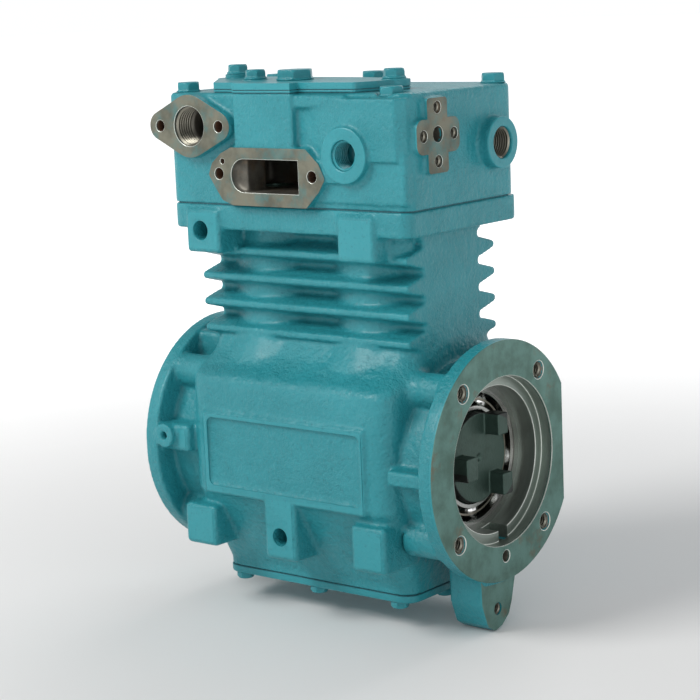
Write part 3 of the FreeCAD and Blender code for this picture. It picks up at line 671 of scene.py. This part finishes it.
@dataclass
class Palette:
    """Every finish of the compressor, built once."""

    enamel: bpy.types.Material = field(init=False)
    plate_enamel: bpy.types.Material = field(init=False)
    iron: bpy.types.Material = field(init=False)
    bore: bpy.types.Material = field(init=False)
    thread: bpy.types.Material = field(init=False)
    forging: bpy.types.Material = field(init=False)
    race: bpy.types.Material = field(init=False)
    ball: bpy.types.Material = field(init=False)
    ring: bpy.types.Material = field(init=False)
    pressed: bpy.types.Material = field(init=False)
    dark_iron: bpy.types.Material = field(init=False)
    rusty: bpy.types.Material = field(init=False)
    port_iron: bpy.types.Material = field(init=False)
    edge_highlight: bpy.types.Material = field(init=False)
    painted_gap_shade: bpy.types.Material = field(init=False)
    bronze: bpy.types.Material = field(init=False)
    alloy: bpy.types.Material = field(init=False)
    grey_iron: bpy.types.Material = field(init=False)
    fibre: bpy.types.Material = field(init=False)

    def __post_init__(self) -> None:
        """Builds the materials."""
        self.enamel = CastEnamel().build()
        self.plate_enamel = CastEnamel("teal_enamel_on_plate", grain=0.00032, swell=0.0004).build()
        self.iron = MachinedIron("machined_iron").build()
        self.port_iron = MachinedIron(
            "port_face_iron", (0.175, 0.172, 0.130), (0.100, 0.102, 0.078),
            stain_from=0.63, overspray=0.45).build()
        # A bright finish painted on bare chamfers and bore edges as a highlight.
        self.edge_highlight = Steel("edge_painted_highlight", (0.74, 0.78, 0.72), 0.28, 0.0010, 0.00003, 0.45, 0.35).build()
        self.bore = TurnedIron().build()
        self.dark_iron = MachinedIron(
            "port_iron", (0.16, 0.15, 0.125), (0.055, 0.052, 0.042), stain_from=0.5).build()
        self.rusty = MachinedIron(
            "rusty_hole", (0.120, 0.060, 0.035), (0.050, 0.028, 0.020), metallic=0.2).build()
        # A near-black finish painted as shade in the gap beside the inner race.
        self.painted_gap_shade = Steel("painted_gap_shadow", (0.035, 0.040, 0.038), 0.30, 0.0016, 0.00004, 0.6).build()
        self.thread = Steel("cut_thread", (0.235, 0.225, 0.185), 0.30, 0.0008).build()
        # The forging's last figure lightens its convex edges as a painted highlight.
        self.forging = Steel(
            "oiled_forging", (0.052, 0.090, 0.074), 0.38, 0.0016, 0.00018, 0.60, 0.5, 0.9).build()
        self.race = Steel("ground_race", (0.48, 0.49, 0.47), 0.16, 0.0006, 0.00001).build()
        self.ball = Steel("polished_ball", (0.70, 0.70, 0.69), 0.05, 0.0006, 0.0).build()
        self.ring = Steel("spring_steel", (0.46, 0.46, 0.44), 0.24, 0.0008, 0.00002).build()
        self.pressed = Steel("pressed_steel", (0.34, 0.31, 0.26), 0.28).build()
        self.bronze = Steel("bored_bronze", (0.38, 0.23, 0.10), 0.32).build()
        self.alloy = Steel("piston_alloy", (0.55, 0.56, 0.57), 0.30, 0.0009).build()
        self.grey_iron = Steel("ring_iron", (0.22, 0.22, 0.21), 0.34).build()
        self.fibre = Fibre().build()

    def for_slot(self, slot: str) -> bpy.types.Material:
        """The finish that a carried-over node takes from its record slot.

        Args:
            slot: The record's slot name.

        Returns:
            The finish.
        """
        return {
            "teal_enamel": self.plate_enamel, "gasket_fibre": self.fibre, "forged_steel": self.forging,
            "bearing_steel": self.race, "spring_steel": self.ring, "pressed_steel": self.pressed,
            "bronze": self.bronze, "piston_alloy": self.alloy, "cast_iron_bare": self.grey_iron,
        }[slot]


# ---------------------------------------------------------------- castings


@dataclass
class CastSkin:
    """A casting's skin: the node's mesh, its edges and corners run together by sand and paint."""

    node: str
    name: str
    voxel: float = 1.15 * MM
    rounds: int = 4
    fill_rounds: int = 26
    budget: int = 185000
    zone: Callable[[Vector], float] | None = None

    def build(self, cutters: Sequence[bpy.types.Object] = ()) -> bpy.types.Object:
        """Copies, softens and thins the node.

        Args:
            cutters: Closed objects cut out first.

        Returns:
            The new skin.
        """
        piece = carve(copy_of(self.node, self.name), cutters)
        voxel = self.voxel * 1.0
        apply_modifier(piece, "REMESH", mode="VOXEL", voxel_size=voxel, use_smooth_shade=True)
        if self.fill_rounds:
            self.fill_corners(piece)
        if self.zone:
            self.soften_zone(piece)
        apply_modifier(piece, "SMOOTH", factor=0.5, iterations=self.rounds)
        triangles = 2 * len(piece.data.polygons)
        if triangles > self.budget:
            apply_modifier(piece, "DECIMATE", decimate_type="COLLAPSE", ratio=self.budget / triangles)
        activate(piece)
        bpy.ops.object.shade_smooth()
        return piece

    def fill_corners(self, piece: bpy.types.Object) -> None:
        """Runs inside corners together into fillets and leaves outside corners alone.

        Args:
            piece: The remeshed skin.
        """
        trial = bpy.data.objects.new("trial", piece.data.copy())
        bpy.context.scene.collection.objects.link(trial)
        apply_modifier(trial, "SMOOTH", factor=0.5, iterations=self.fill_rounds)
        group = piece.vertex_groups.new(name="hollows")
        for before, after in zip(piece.data.vertices, trial.data.vertices):
            rise = (after.co - before.co).dot(before.normal)
            if rise > 0.05 * MM:
                group.add([before.index], min(1.0, rise / (0.45 * MM)), "REPLACE")
        bpy.data.objects.remove(trial)
        self.smooth_group(piece, group.name, self.fill_rounds)

    def soften_zone(self, piece: bpy.types.Object) -> None:
        """Smooths one stretch of the skin harder, where the pattern has big soft curves.

        Args:
            piece: The remeshed skin.
        """
        group = piece.vertex_groups.new(name="zone")
        for vertex in piece.data.vertices:
            share = self.zone(vertex.co)
            if share > 0.0:
                group.add([vertex.index], min(1.0, share), "REPLACE")
        self.smooth_group(piece, group.name, 2 * self.fill_rounds)

    def smooth_group(self, piece: bpy.types.Object, group: str, rounds: int) -> None:
        """Smooths by the weights of a vertex group and removes the group.

        Args:
            piece: The skin.
            group: The group's name.
            rounds: How many passes.
        """
        apply_modifier(piece, "SMOOTH", factor=0.5, iterations=rounds, vertex_group=group)
        activate(piece)
        bpy.ops.object.vertex_group_remove(all=True)


def block_between(name: str, low: tuple, high: tuple) -> bpy.types.Object:
    """A plain box used as a cutter.

    Args:
        name: The object's name.
        low: Its lowest corner in millimetres.
        high: Its highest corner in millimetres.

    Returns:
        The new object, settled at the origin.
    """
    clear_selection()
    middle = [(a + b) / 2 * MM for a, b in zip(low, high)]
    scale = [(b - a) * MM for a, b in zip(low, high)]
    bpy.ops.mesh.primitive_cube_add(size=1.0, location=middle, scale=scale)
    piece = bpy.context.object
    piece.name = piece.data.name = name
    return settle(piece)


def finish_region(piece: bpy.types.Object, index: int, wanted: Callable[[Vector, Vector], bool]) -> None:
    """Gives the chosen faces of a piece one of its other finishes.

    Args:
        piece: The piece.
        index: The material's place in the piece's list.
        wanted: Says yes or no from a face's centre and normal.
    """
    for face in piece.data.polygons:
        if wanted(face.center, face.normal):
            face.material_index = index


@dataclass
class FacePlate:
    """A machined face taken from a node, with its crisp rim and holes and a painted edge below it."""

    node: str
    name: str
    axis: Vector
    level: float
    depth: float = 1.6 * MM
    lift: float = 0.0
    edge: float = 0.25 * MM
    bare: Callable[[Vector], bool] = lambda centre: False

    def build(
            self, face: bpy.types.Material, rim: bpy.types.Material,
            edge_highlight: bpy.types.Material) -> bpy.types.Object:
        """Lifts the flat face off a copy of the node and gives it a little depth.

        Args:
            face: Finish of the face.
            rim: Finish of its sides.
            edge_highlight: Finish of the bare broken edges, painted bright as a highlight.

        Returns:
            The new plate.
        """
        piece = copy_of(self.node, self.name)

        def on_face(centre: Vector, normal: Vector) -> bool:
            """Whether a face belongs to the plane."""
            level = abs(centre.dot(self.axis) - self.level) < 0.02 * MM
            return level and normal.dot(self.axis) > 0.999

        keep_faces(piece, on_face)
        with editing(piece):
            bpy.ops.mesh.select_all(action="SELECT")
            bpy.ops.mesh.dissolve_limited(angle_limit=math.radians(2.0))
            bpy.ops.mesh.extrude_region_move(TRANSFORM_OT_translate={"value": -self.axis * self.depth})
            bpy.ops.mesh.select_all(action="SELECT")
            bpy.ops.mesh.normals_make_consistent(inside=False)
        if self.lift:
            piece.location = self.axis * self.lift
            settle(piece)
        apply_modifier(
            piece, "BEVEL", width=self.edge, segments=2, limit_method="ANGLE", angle_limit=math.radians(50.0))
        dress(piece, face, rim, edge_highlight)
        for polygon in piece.data.polygons:
            tilt, bare = polygon.normal.dot(self.axis), self.bare(polygon.center)
            polygon.material_index = 0 if tilt > 0.35 or bare else 1
            # Bare chamfer facets take the bright finish, a painted highlight.
            if bare and 0.2 < tilt < 0.97:
                polygon.material_index = 2
        return smooth_by_angle(piece)


@dataclass
class Thread:
    """A cut thread inside a hole, from its mouth inwards."""

    name: str
    mouth: Vector
    axis: Vector
    radius: float
    pitch: float
    length: float
    sides: int
    start: float = 0.8 * MM

    def build(self, finish: bpy.types.Material) -> bpy.types.Object:
        """Screws one tooth outline round the hole.

        Args:
            finish: The thread's finish.

        Returns:
            The new thread.
        """
        height = 0.62 * self.pitch
        outline = [(self.radius - 0.12 * MM, 0.0), (self.radius - height, 0.42 * self.pitch)]
        outline += [(self.radius - height, 0.58 * self.pitch), (self.radius - 0.12 * MM, self.pitch)]
        mesh = bpy.data.meshes.new(self.name)
        points = [(across, 0.0, along) for across, along in outline]
        mesh.from_pydata(points, [(0, 1), (1, 2), (2, 3)], [])
        piece = bpy.data.objects.new(self.name, mesh)
        bpy.context.scene.collection.objects.link(piece)
        turns = max(2, round(self.length / self.pitch))
        apply_modifier(
            piece, "SCREW", angle=2.0 * math.pi, screw_offset=self.pitch, iterations=turns, steps=self.sides,
            render_steps=self.sides, use_merge_vertices=True, merge_threshold=0.005 * MM)
        with editing(piece, "VERT"):
            bpy.ops.mesh.select_all(action="SELECT")
            bpy.ops.mesh.remove_doubles(threshold=0.005 * MM)
            bpy.ops.mesh.normals_make_consistent(inside=True)
        apply_modifier(piece, "SOLIDIFY", thickness=0.35 * MM, offset=-1.0)
        turn = Vector((0, 0, 1)).rotation_difference(self.axis)
        depth = turns * self.pitch + self.pitch + self.start
        piece.rotation_euler = turn.to_euler()
        piece.location = self.mouth - self.axis * depth
        settle(piece)
        dress(piece, finish)
        return smooth_by_angle(piece, 30.0)


@dataclass
class Housing:
    """The block casting, the head and everything bolted to them."""

    palette: Palette
    bore_reach: float = 57.4 * MM
    bore_wall: float = 0.6 * MM
    bore_edge: float = 0.45 * MM
    bearing_back: float = -42.5 * MM
    lug_level: float = -2.0 * MM
    pad_level: float = -20.0 * MM
    end_boss_level: float = -15.0 * MM
    front_boss_level: float = 69.3 * MM
    port_level: float = 68.0 * MM
    flange_bare_radius: float = 76.5 * MM
    shoulder_run: tuple = (-222.0, -26.0)
    shoulder_band: tuple = (36.0, 79.0)
    shoulder_from: float = 30.0
    feather: float = 6.0
    pad_hole_radius: float = 3.6 * MM
    port_bolt_reach: float = 4.6 * MM
    painted_edge: float = 0.9 * MM
    pad_holes: tuple = ((-34.0, 232.4), (-34.0, 198.5), (-49.0, 215.0), (-17.0, 215.0), (-34.0, 215.45))
    port_bolts: tuple = ((-228.3, 221.0), (-175.3, 221.0), (-176.5, 190.0), (-96.4, 189.7), (-173.1, 198.3))

    def build(self) -> None:
        """Makes every piece of the housing."""
        self.block()
        self.head()
        self.machined_faces()
        self.bearing_bore()
        self.threads()
        self.plates_and_bolts()

    def block(self) -> None:
        """The block casting, with room left for the crisp bore and flange face."""
        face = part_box("crankcase_block")[1].x
        back, ahead = Vector((self.bearing_back, 0, 0)), Vector((face + 5 * MM, 0, 0))
        room = rod("bore_room", self.bore_reach, back, ahead, 96)
        flange_room = block_between("flange_room", (-0.9, -90, -90), (5, 90, 90))
        lug_room = block_between("lug_room", (-2.9, -40, -115), (5, 20, -81))

        def shoulder(point: Vector) -> float:
            """Weight of the soft S-shaped shoulder above the crank chamber, feathered at its ends."""
            x, y, z = (value / MM for value in point)
            (near, far), (low, high) = self.shoulder_run, self.shoulder_band
            if not (near < x < far and abs(y) > self.shoulder_from):
                return 0.0
            return min(z - low, high - z) / self.feather

        casting = CastSkin("crankcase_block", "block_casting", zone=shoulder)
        skin = casting.build([room, flange_room, lug_room])
        dress(skin, self.palette.enamel, self.palette.dark_iron)
        names = [f"pump_bolt_{number}" for number in range(1, 5)] + ["pump_oil_hole", "lug_bolt"]
        holes = [(hole.place.y / MM, hole.place.z / MM) for hole in map(Mount.named, names)]

        def in_hole(centre: Vector, normal: Vector) -> bool:
            """Whether a face is inside one of the pump face's holes."""
            return centre.x > -27.0 * MM and near_any(centre.y, centre.z, holes, 5.6 * MM)

        finish_region(skin, 1, in_hole)
        place_on(skin, Body.HOUSING, "teal_enamel", "crankcase_block")

    def head(self) -> None:
        """The cylinder head casting."""
        port_room = block_between("port_room", (-245, -80, 165), (-88.5, -67.1, 240))
        pad_room = block_between("pad_room", (-20.9, -60, 180), (5, -9, 241))
        skin = CastSkin("cylinder_head", "head_casting", voxel=0.95 * MM).build([port_room, pad_room])
        dress(skin, self.palette.enamel, self.palette.dark_iron, self.palette.rusty)
        outlet = Mount.named("discharge_port")

        def bare(centre: Vector, normal: Vector) -> bool:
            """Whether a face is on a bare wall of the inlet mouth, the discharge port or the pad's holes."""
            mouth = -187 * MM < centre.x < -62 * MM and -66.6 * MM < centre.y < -4 * MM
            mouth = mouth and 177.2 * MM < centre.z < 200.8 * MM
            mouth = mouth and (centre.x > -167 * MM or centre.y > -50 * MM) and centre.x < -100 * MM
            across = math.hypot(centre.x - outlet.place.x, centre.z - outlet.place.z)
            return mouth or across < 14.2 * MM and centre.y > -67.5 * MM or pad_hole(centre)

        def pad_hole(centre: Vector) -> bool:
            """Whether a face is on the wall of one of the governor pad's holes."""
            return -38 * MM < centre.x < -20.7 * MM and near_any(centre.y, centre.z, self.pad_holes, 5.2 * MM)

        def bolt_hole(centre: Vector, normal: Vector) -> bool:
            """Whether a face is on the rusty wall of a port's bolt hole."""
            return centre.y < -50 * MM and near_any(
                centre.x, centre.z, self.port_bolts, self.port_bolt_reach)

        finish_region(skin, 1, bare)
        finish_region(skin, 2, bolt_hole)
        place_on(skin, Body.HOUSING, "teal_enamel", "cylinder_head")

    def machined_faces(self) -> None:
        """The bare machined faces and the painted pads that the castings carry."""
        iron, enamel = self.palette.iron, self.palette.plate_enamel
        out, front = Axis.X.unit, -Axis.Y.unit

        def in_flange(centre: Vector) -> bool:
            """Whether a point is inside the pump flange's rim, where nothing is painted."""
            return math.hypot(centre.y, centre.z) < self.flange_bare_radius and centre.y < 68.0 * MM

        def in_ports(centre: Vector) -> bool:
            """Whether a point is on the wall of one of the ports' holes."""
            x, z = centre.x / MM, centre.z / MM
            mouth = -167.0 < x < -106.0 and 177.0 < z < 201.0
            outlet = math.hypot(x + 201.8, z - 221.0) < 15.0
            return mouth or outlet or near_any(centre.x, centre.z, self.port_bolts, self.port_bolt_reach)

        def in_pad(centre: Vector) -> bool:
            """Whether a point is on the wall of one of the governor pad's holes."""
            return near_any(centre.y, centre.z, self.pad_holes, 5.6 * MM)

        port_iron, block, head = self.palette.port_iron, "crankcase_block", "cylinder_head"
        pads = {"lift": 0.1 * MM, "edge": self.painted_edge}
        bosses = {"lift": 0.1 * MM, "edge": 0.8 * MM}
        rows = [
            (block, "pump_flange_face", out, 0.0, iron,
             {"depth": 2.0 * MM, "edge": 0.5 * MM, "bare": in_flange}),
            (block, "support_lug_face", out, self.lug_level, iron, {"lift": 0.1 * MM}),
            (head, "port_faces", front, self.port_level, port_iron, {"lift": 0.15 * MM, "bare": in_ports}),
            (head, "governor_pad_face", out, self.pad_level, port_iron, {"lift": 0.15 * MM, "bare": in_pad}),
            (head, "coolant_boss_front", front, self.front_boss_level, enamel, bosses),
            (head, "coolant_boss_end", out, self.end_boss_level, enamel, bosses),
            (block, "deck_pads", front, 64.5 * MM, enamel, pads),
            (block, "case_pads", front, 78.0 * MM, enamel, pads),
        ]
        for node, name, axis, level, finish, settings in rows:
            plate = FacePlate(node, name, axis, level, **settings)
            place_on(plate.build(finish, enamel, self.palette.edge_highlight), Body.HOUSING, "teal_enamel")

    def bearing_bore(self) -> None:
        """The pilot counterbore and bearing bore, kept as crisp as the tool left them."""
        reach, back = self.bore_reach, self.bearing_back

        def in_bore(centre: Vector, normal: Vector) -> bool:
            """Whether a face is part of the bore's walls and steps."""
            radius = math.hypot(centre.y, centre.z)
            return back < centre.x < -0.3 * MM and 40.0 * MM < radius < reach

        piece = keep_faces(copy_of("crankcase_block", "bearing_bore"), in_bore)
        join_flats(piece, 1.0)
        apply_modifier(piece, "SOLIDIFY", thickness=self.bore_wall, offset=-1.0)
        dress(piece, self.palette.bore, self.palette.edge_highlight)
        weights = piece.data.attributes.new("bevel_weight_edge", "FLOAT", "EDGE")
        for edge, weight in zip(piece.data.edges, weights.data):
            start, end = (piece.data.vertices[index].co for index in edge.vertices)
            spread = abs(math.hypot(start.y, start.z) - math.hypot(end.y, end.z))
            weight.value = float(spread < 0.05 * MM and abs(start.x - end.x) < 0.02 * MM)
        # The bevels at the bore's steps take the bright finish, a painted highlight.
        apply_modifier(
            piece, "BEVEL", width=self.bore_edge, segments=2, limit_method="WEIGHT", material=1,
            use_clamp_overlap=False)
        smooth_by_angle(piece)
        place_on(piece, Body.HOUSING, "teal_enamel")

    def threads(self) -> None:
        """Every thread that shows."""
        coarse, fine, bare = 1.814 * MM, 1.27 * MM, self.palette.thread
        rows = [(f"pump_bolt_{number}", 1.75 * MM, 0.0, 16.0, 48, bare) for number in range(1, 5)]
        rows += [
            ("lug_bolt", fine, self.lug_level, 12.0, 48, bare),
            ("discharge_port", 2.2 * MM, self.port_level, 20.0, 72, bare),
            ("coolant_port_end", coarse, self.end_boss_level, 18.0, 48, bare),
            ("coolant_port_front", coarse, self.front_boss_level, 14.0, 48, self.palette.plate_enamel),
        ]
        for name, pitch, level, length, sides, finish in rows:
            mount = Mount.named(name)
            mouth = mount.place + mount.axis * (level - mount.place.dot(mount.axis))
            thread = Thread(f"{name}_thread", mouth, mount.axis, mount.radius, pitch, length * MM, sides)
            place_on(thread.build(finish), Body.HOUSING, "teal_enamel")
        for number, (y, z) in enumerate(self.pad_holes[:4], 1):
            mouth = Vector((self.pad_level, y * MM, z * MM))
            thread = Thread(
                f"pad_bolt_{number}_thread", mouth, Axis.X.unit, self.pad_hole_radius, fine, 9.0 * MM, 32)
            place_on(thread.build(bare), Body.HOUSING, "teal_enamel")

    def plates_and_bolts(self) -> None:
        """Cover plates, base cover and the painted fasteners."""
        for node in ("head_cover", "cover_spacer_plate", "base_cover"):
            self.broken_edges(node, self.painted_edge, self.palette.plate_enamel, "teal_enamel")
        for node in ("cover_bolts", "head_bolts", "base_bolts", "hex_cap"):
            skin = CastSkin(node, f"{node}_painted", 0.42 * MM, 3, 0, 60000).build()
            dress(skin, self.palette.plate_enamel)
            place_on(skin, Body.HOUSING, "teal_enamel", node)

    def broken_edges(self, node: str, width: float, finish: bpy.types.Material, slot: str) -> None:
        """A copy of a node with its sharp edges broken.

        Args:
            node: The node that the copy stands for.
            width: Width of the broken edge.
            finish: Its finish.
            slot: The record's slot.
        """
        piece = copy_of(node, f"{node}_dressed")
        join_flats(piece, 2.0)
        apply_modifier(
            piece, "BEVEL", width=width, segments=2, limit_method="ANGLE", angle_limit=math.radians(45.0))
        dress(piece, finish)
        smooth_by_angle(piece)
        place_on(piece, Body.HOUSING, slot, node)


@dataclass
class CrankEnd:
    """The crankshaft's visible end and the ball bearing round it."""

    palette: Palette
    ball_radius: float = 6.3 * MM
    web_face: float = -26.0 * MM
    disc_radius: float = 29.4 * MM

    def build(self) -> None:
        """Makes the forged end and the balls."""
        self.forged_end()
        self.balls()

    def forged_end(self) -> None:
        """The lugged end, its edges rounded by the forging die and lightened as a painted highlight, with
        painted shade on the disc's side in the gap.
        """
        piece = CastSkin("crank_pump_end", "crank_pump_end_forged", 0.55 * MM, 3, 0, 160000).build()
        dress(piece, self.palette.forging, self.palette.painted_gap_shade)

        def rim(centre: Vector, normal: Vector) -> bool:
            """Whether a face is on the disc's side, down in the gap beside the inner race."""
            return centre.x > self.web_face and math.hypot(centre.y, centre.z) > self.disc_radius

        # The disc's side down in the gap takes the near-black finish as painted shade.
        finish_region(piece, 1, rim)
        place_on(piece, Body.CRANK, "forged_steel", "crank_pump_end")

    def balls(self) -> None:
        """Round balls in place of the frame's faceted ones."""
        low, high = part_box("bearing_balls")
        middle = (low.x + high.x) / 2
        copy = frame["nodes"]["bearing_balls"]
        centres = self.centres(copy, middle)
        made = []
        for number, centre in enumerate(centres):
            clear_selection()
            bpy.ops.mesh.primitive_uv_sphere_add(
                segments=40, ring_count=24, radius=self.ball_radius, location=centre)
            made.append(settle(bpy.context.object))
        clear_selection()
        for piece in made:
            piece.select_set(True)
        bpy.context.view_layer.objects.active = made[0]
        bpy.ops.object.join()
        balls = bpy.context.object
        balls.name = balls.data.name = "polished_balls"
        bpy.ops.object.shade_smooth()
        dress(balls, self.palette.ball)
        place_on(balls, Body.CAGE, "bearing_steel", "bearing_balls")

    def centres(self, node: bpy.types.Object, middle: float) -> list[Vector]:
        """The balls' centres, found from the frame.

        Args:
            node: The frame's ball node.
            middle: X of the row of balls.

        Returns:
            One point for each ball.
        """
        found: list[list[Vector]] = []
        for vertex in node.data.vertices:
            for group in found:
                if (group[0] - vertex.co).length < 2.05 * self.ball_radius:
                    group.append(vertex.co.copy())
                    break
            else:
                found.append([vertex.co.copy()])
        points = []
        for group in found:
            low = Vector([min(point[i] for point in group) for i in range(3)])
            high = Vector([max(point[i] for point in group) for i in range(3)])
            centre = (low + high) / 2
            points.append(Vector((middle, centre.y, centre.z)))
        return points


def dress_carried_over(palette: Palette) -> None:
    """Gives every frame node the finish of its record slot."""
    slots = {row["node"]: row["material_slot"] for row in frame["record"]["subparts"]}
    for name, node in frame["nodes"].items():
        dress(node, palette.for_slot(slots[name]))


# ---------------------------------------------------------------- stage


@dataclass(frozen=True)
class Studio:
    """Pale floor, soft lights and the camera."""

    place: tuple = (0.75865, -1.08097, 0.31291)
    right: tuple = (0.7777, 0.6273, -0.0410)
    up: tuple = (-0.0789, 0.1622, 0.9836)
    back: tuple = (0.62364, -0.76172, 0.17566)
    lens: float = 106.56
    fill: float = 0.30

    def camera(self) -> None:
        """Sets up the camera."""
        data = bpy.data.cameras.new("camera")
        data.lens = self.lens
        data.sensor_width = 36.0
        data.clip_start = 0.01
        camera = bpy.data.objects.new("camera", data)
        bpy.context.scene.collection.objects.link(camera)
        turn = Matrix((self.right, self.up, self.back)).transposed().to_4x4()
        camera.matrix_world = Matrix.Translation(self.place) @ turn
        bpy.context.scene.camera = camera

    def light(self, name: str, place: tuple, size: float, power: float, tint: tuple) -> None:
        """Adds a square soft light aimed at the compressor.

        Args:
            name: Its name.
            place: Where it hangs.
            size: Side of the square in metres.
            power: Watts.
            tint: Colour.
        """
        data = bpy.data.lights.new(name, "AREA")
        data.size = size
        data.energy = power
        data.color = tint
        lamp = bpy.data.objects.new(name, data)
        bpy.context.scene.collection.objects.link(lamp)
        aim = Vector((-0.12, 0.0, 0.06)) - Vector(place)
        lamp.matrix_world = Matrix.Translation(place) @ aim.to_track_quat("-Z", "Y").to_matrix().to_4x4()

    def floor(self) -> None:
        """A wide pale floor under the compressor that brightens with distance into the white background."""
        clear_selection()
        bpy.ops.mesh.primitive_plane_add(size=30.0, location=(0, 0, CAD_BOX[0][2] - 0.0005))
        floor = settle(bpy.context.object)
        floor.name = "floor"
        paint = Paint("pale_floor")
        cloud = paint.noise(0.6, 2.0)
        parts = [paint.node("ShaderNodeSeparateXYZ", {}, {0: paint.place}, place) for place in (0, 1)]
        distance = (parts[0] * parts[0] + parts[1] * parts[1]) ** 0.5
        glow = distance.step(0.2, 1.9)
        paint.set(
            Base_Color=paint.mix(cloud, (0.76, 0.76, 0.76), (0.79, 0.79, 0.79)), Roughness=0.7,
            Emission_Color=paint.mix(glow, (0.0, 0.0, 0.0), (0.9, 0.9, 0.9)), Emission_Strength=1.0)
        dress(floor, paint.material)

    def sky(self) -> None:
        """Surroundings, white at the horizon and dimmer overhead, so that the lights set the shading."""
        world = bpy.data.worlds.new("studio")
        world.use_nodes = True
        nodes, links = world.node_tree.nodes, world.node_tree.links
        facing = nodes.new("ShaderNodeTexCoord")
        split = nodes.new("ShaderNodeSeparateXYZ")
        size = nodes.new("ShaderNodeMath")
        size.operation = "ABSOLUTE"
        fade = nodes.new("ShaderNodeMapRange")
        fade.interpolation_type = "SMOOTHSTEP"
        for name, value in {"From Min": 0.08, "From Max": 0.42, "To Min": 1.03, "To Max": self.fill}.items():
            fade.inputs[name].default_value = value
        links.new(facing.outputs["Generated"], split.inputs[0])
        links.new(split.outputs[2], size.inputs[0])
        links.new(size.outputs[0], fade.inputs["Value"])
        links.new(fade.outputs["Result"], nodes["Background"].inputs["Strength"])
        nodes["Background"].inputs["Color"].default_value = (0.97, 0.985, 1.0, 1.0)
        bpy.context.scene.world = world
        bpy.context.scene.view_settings.view_transform = "Standard"

    def build(self) -> None:
        """Makes the whole set."""
        self.camera()
        self.floor()
        self.sky()
        self.light("key", (-0.9, -1.5, 1.5), 0.9, 33.0, (1.0, 0.99, 0.97))
        self.light("side", (1.5, -0.9, 0.7), 2.0, 9.0, (0.95, 0.98, 1.0))
        self.light("back", (-0.3, 1.6, 1.4), 1.4, 13.0, (1.0, 1.0, 1.0))


def main() -> None:
    """Builds the set and the compressor's pieces in order."""
    logging.basicConfig(level=logging.INFO, format="%(message)s")
    Studio().build()
    palette = Palette()
    dress_carried_over(palette)
    Housing(palette).build()
    CrankEnd(palette).build()
    clear_selection()


if __name__ == "__main__":
    main()
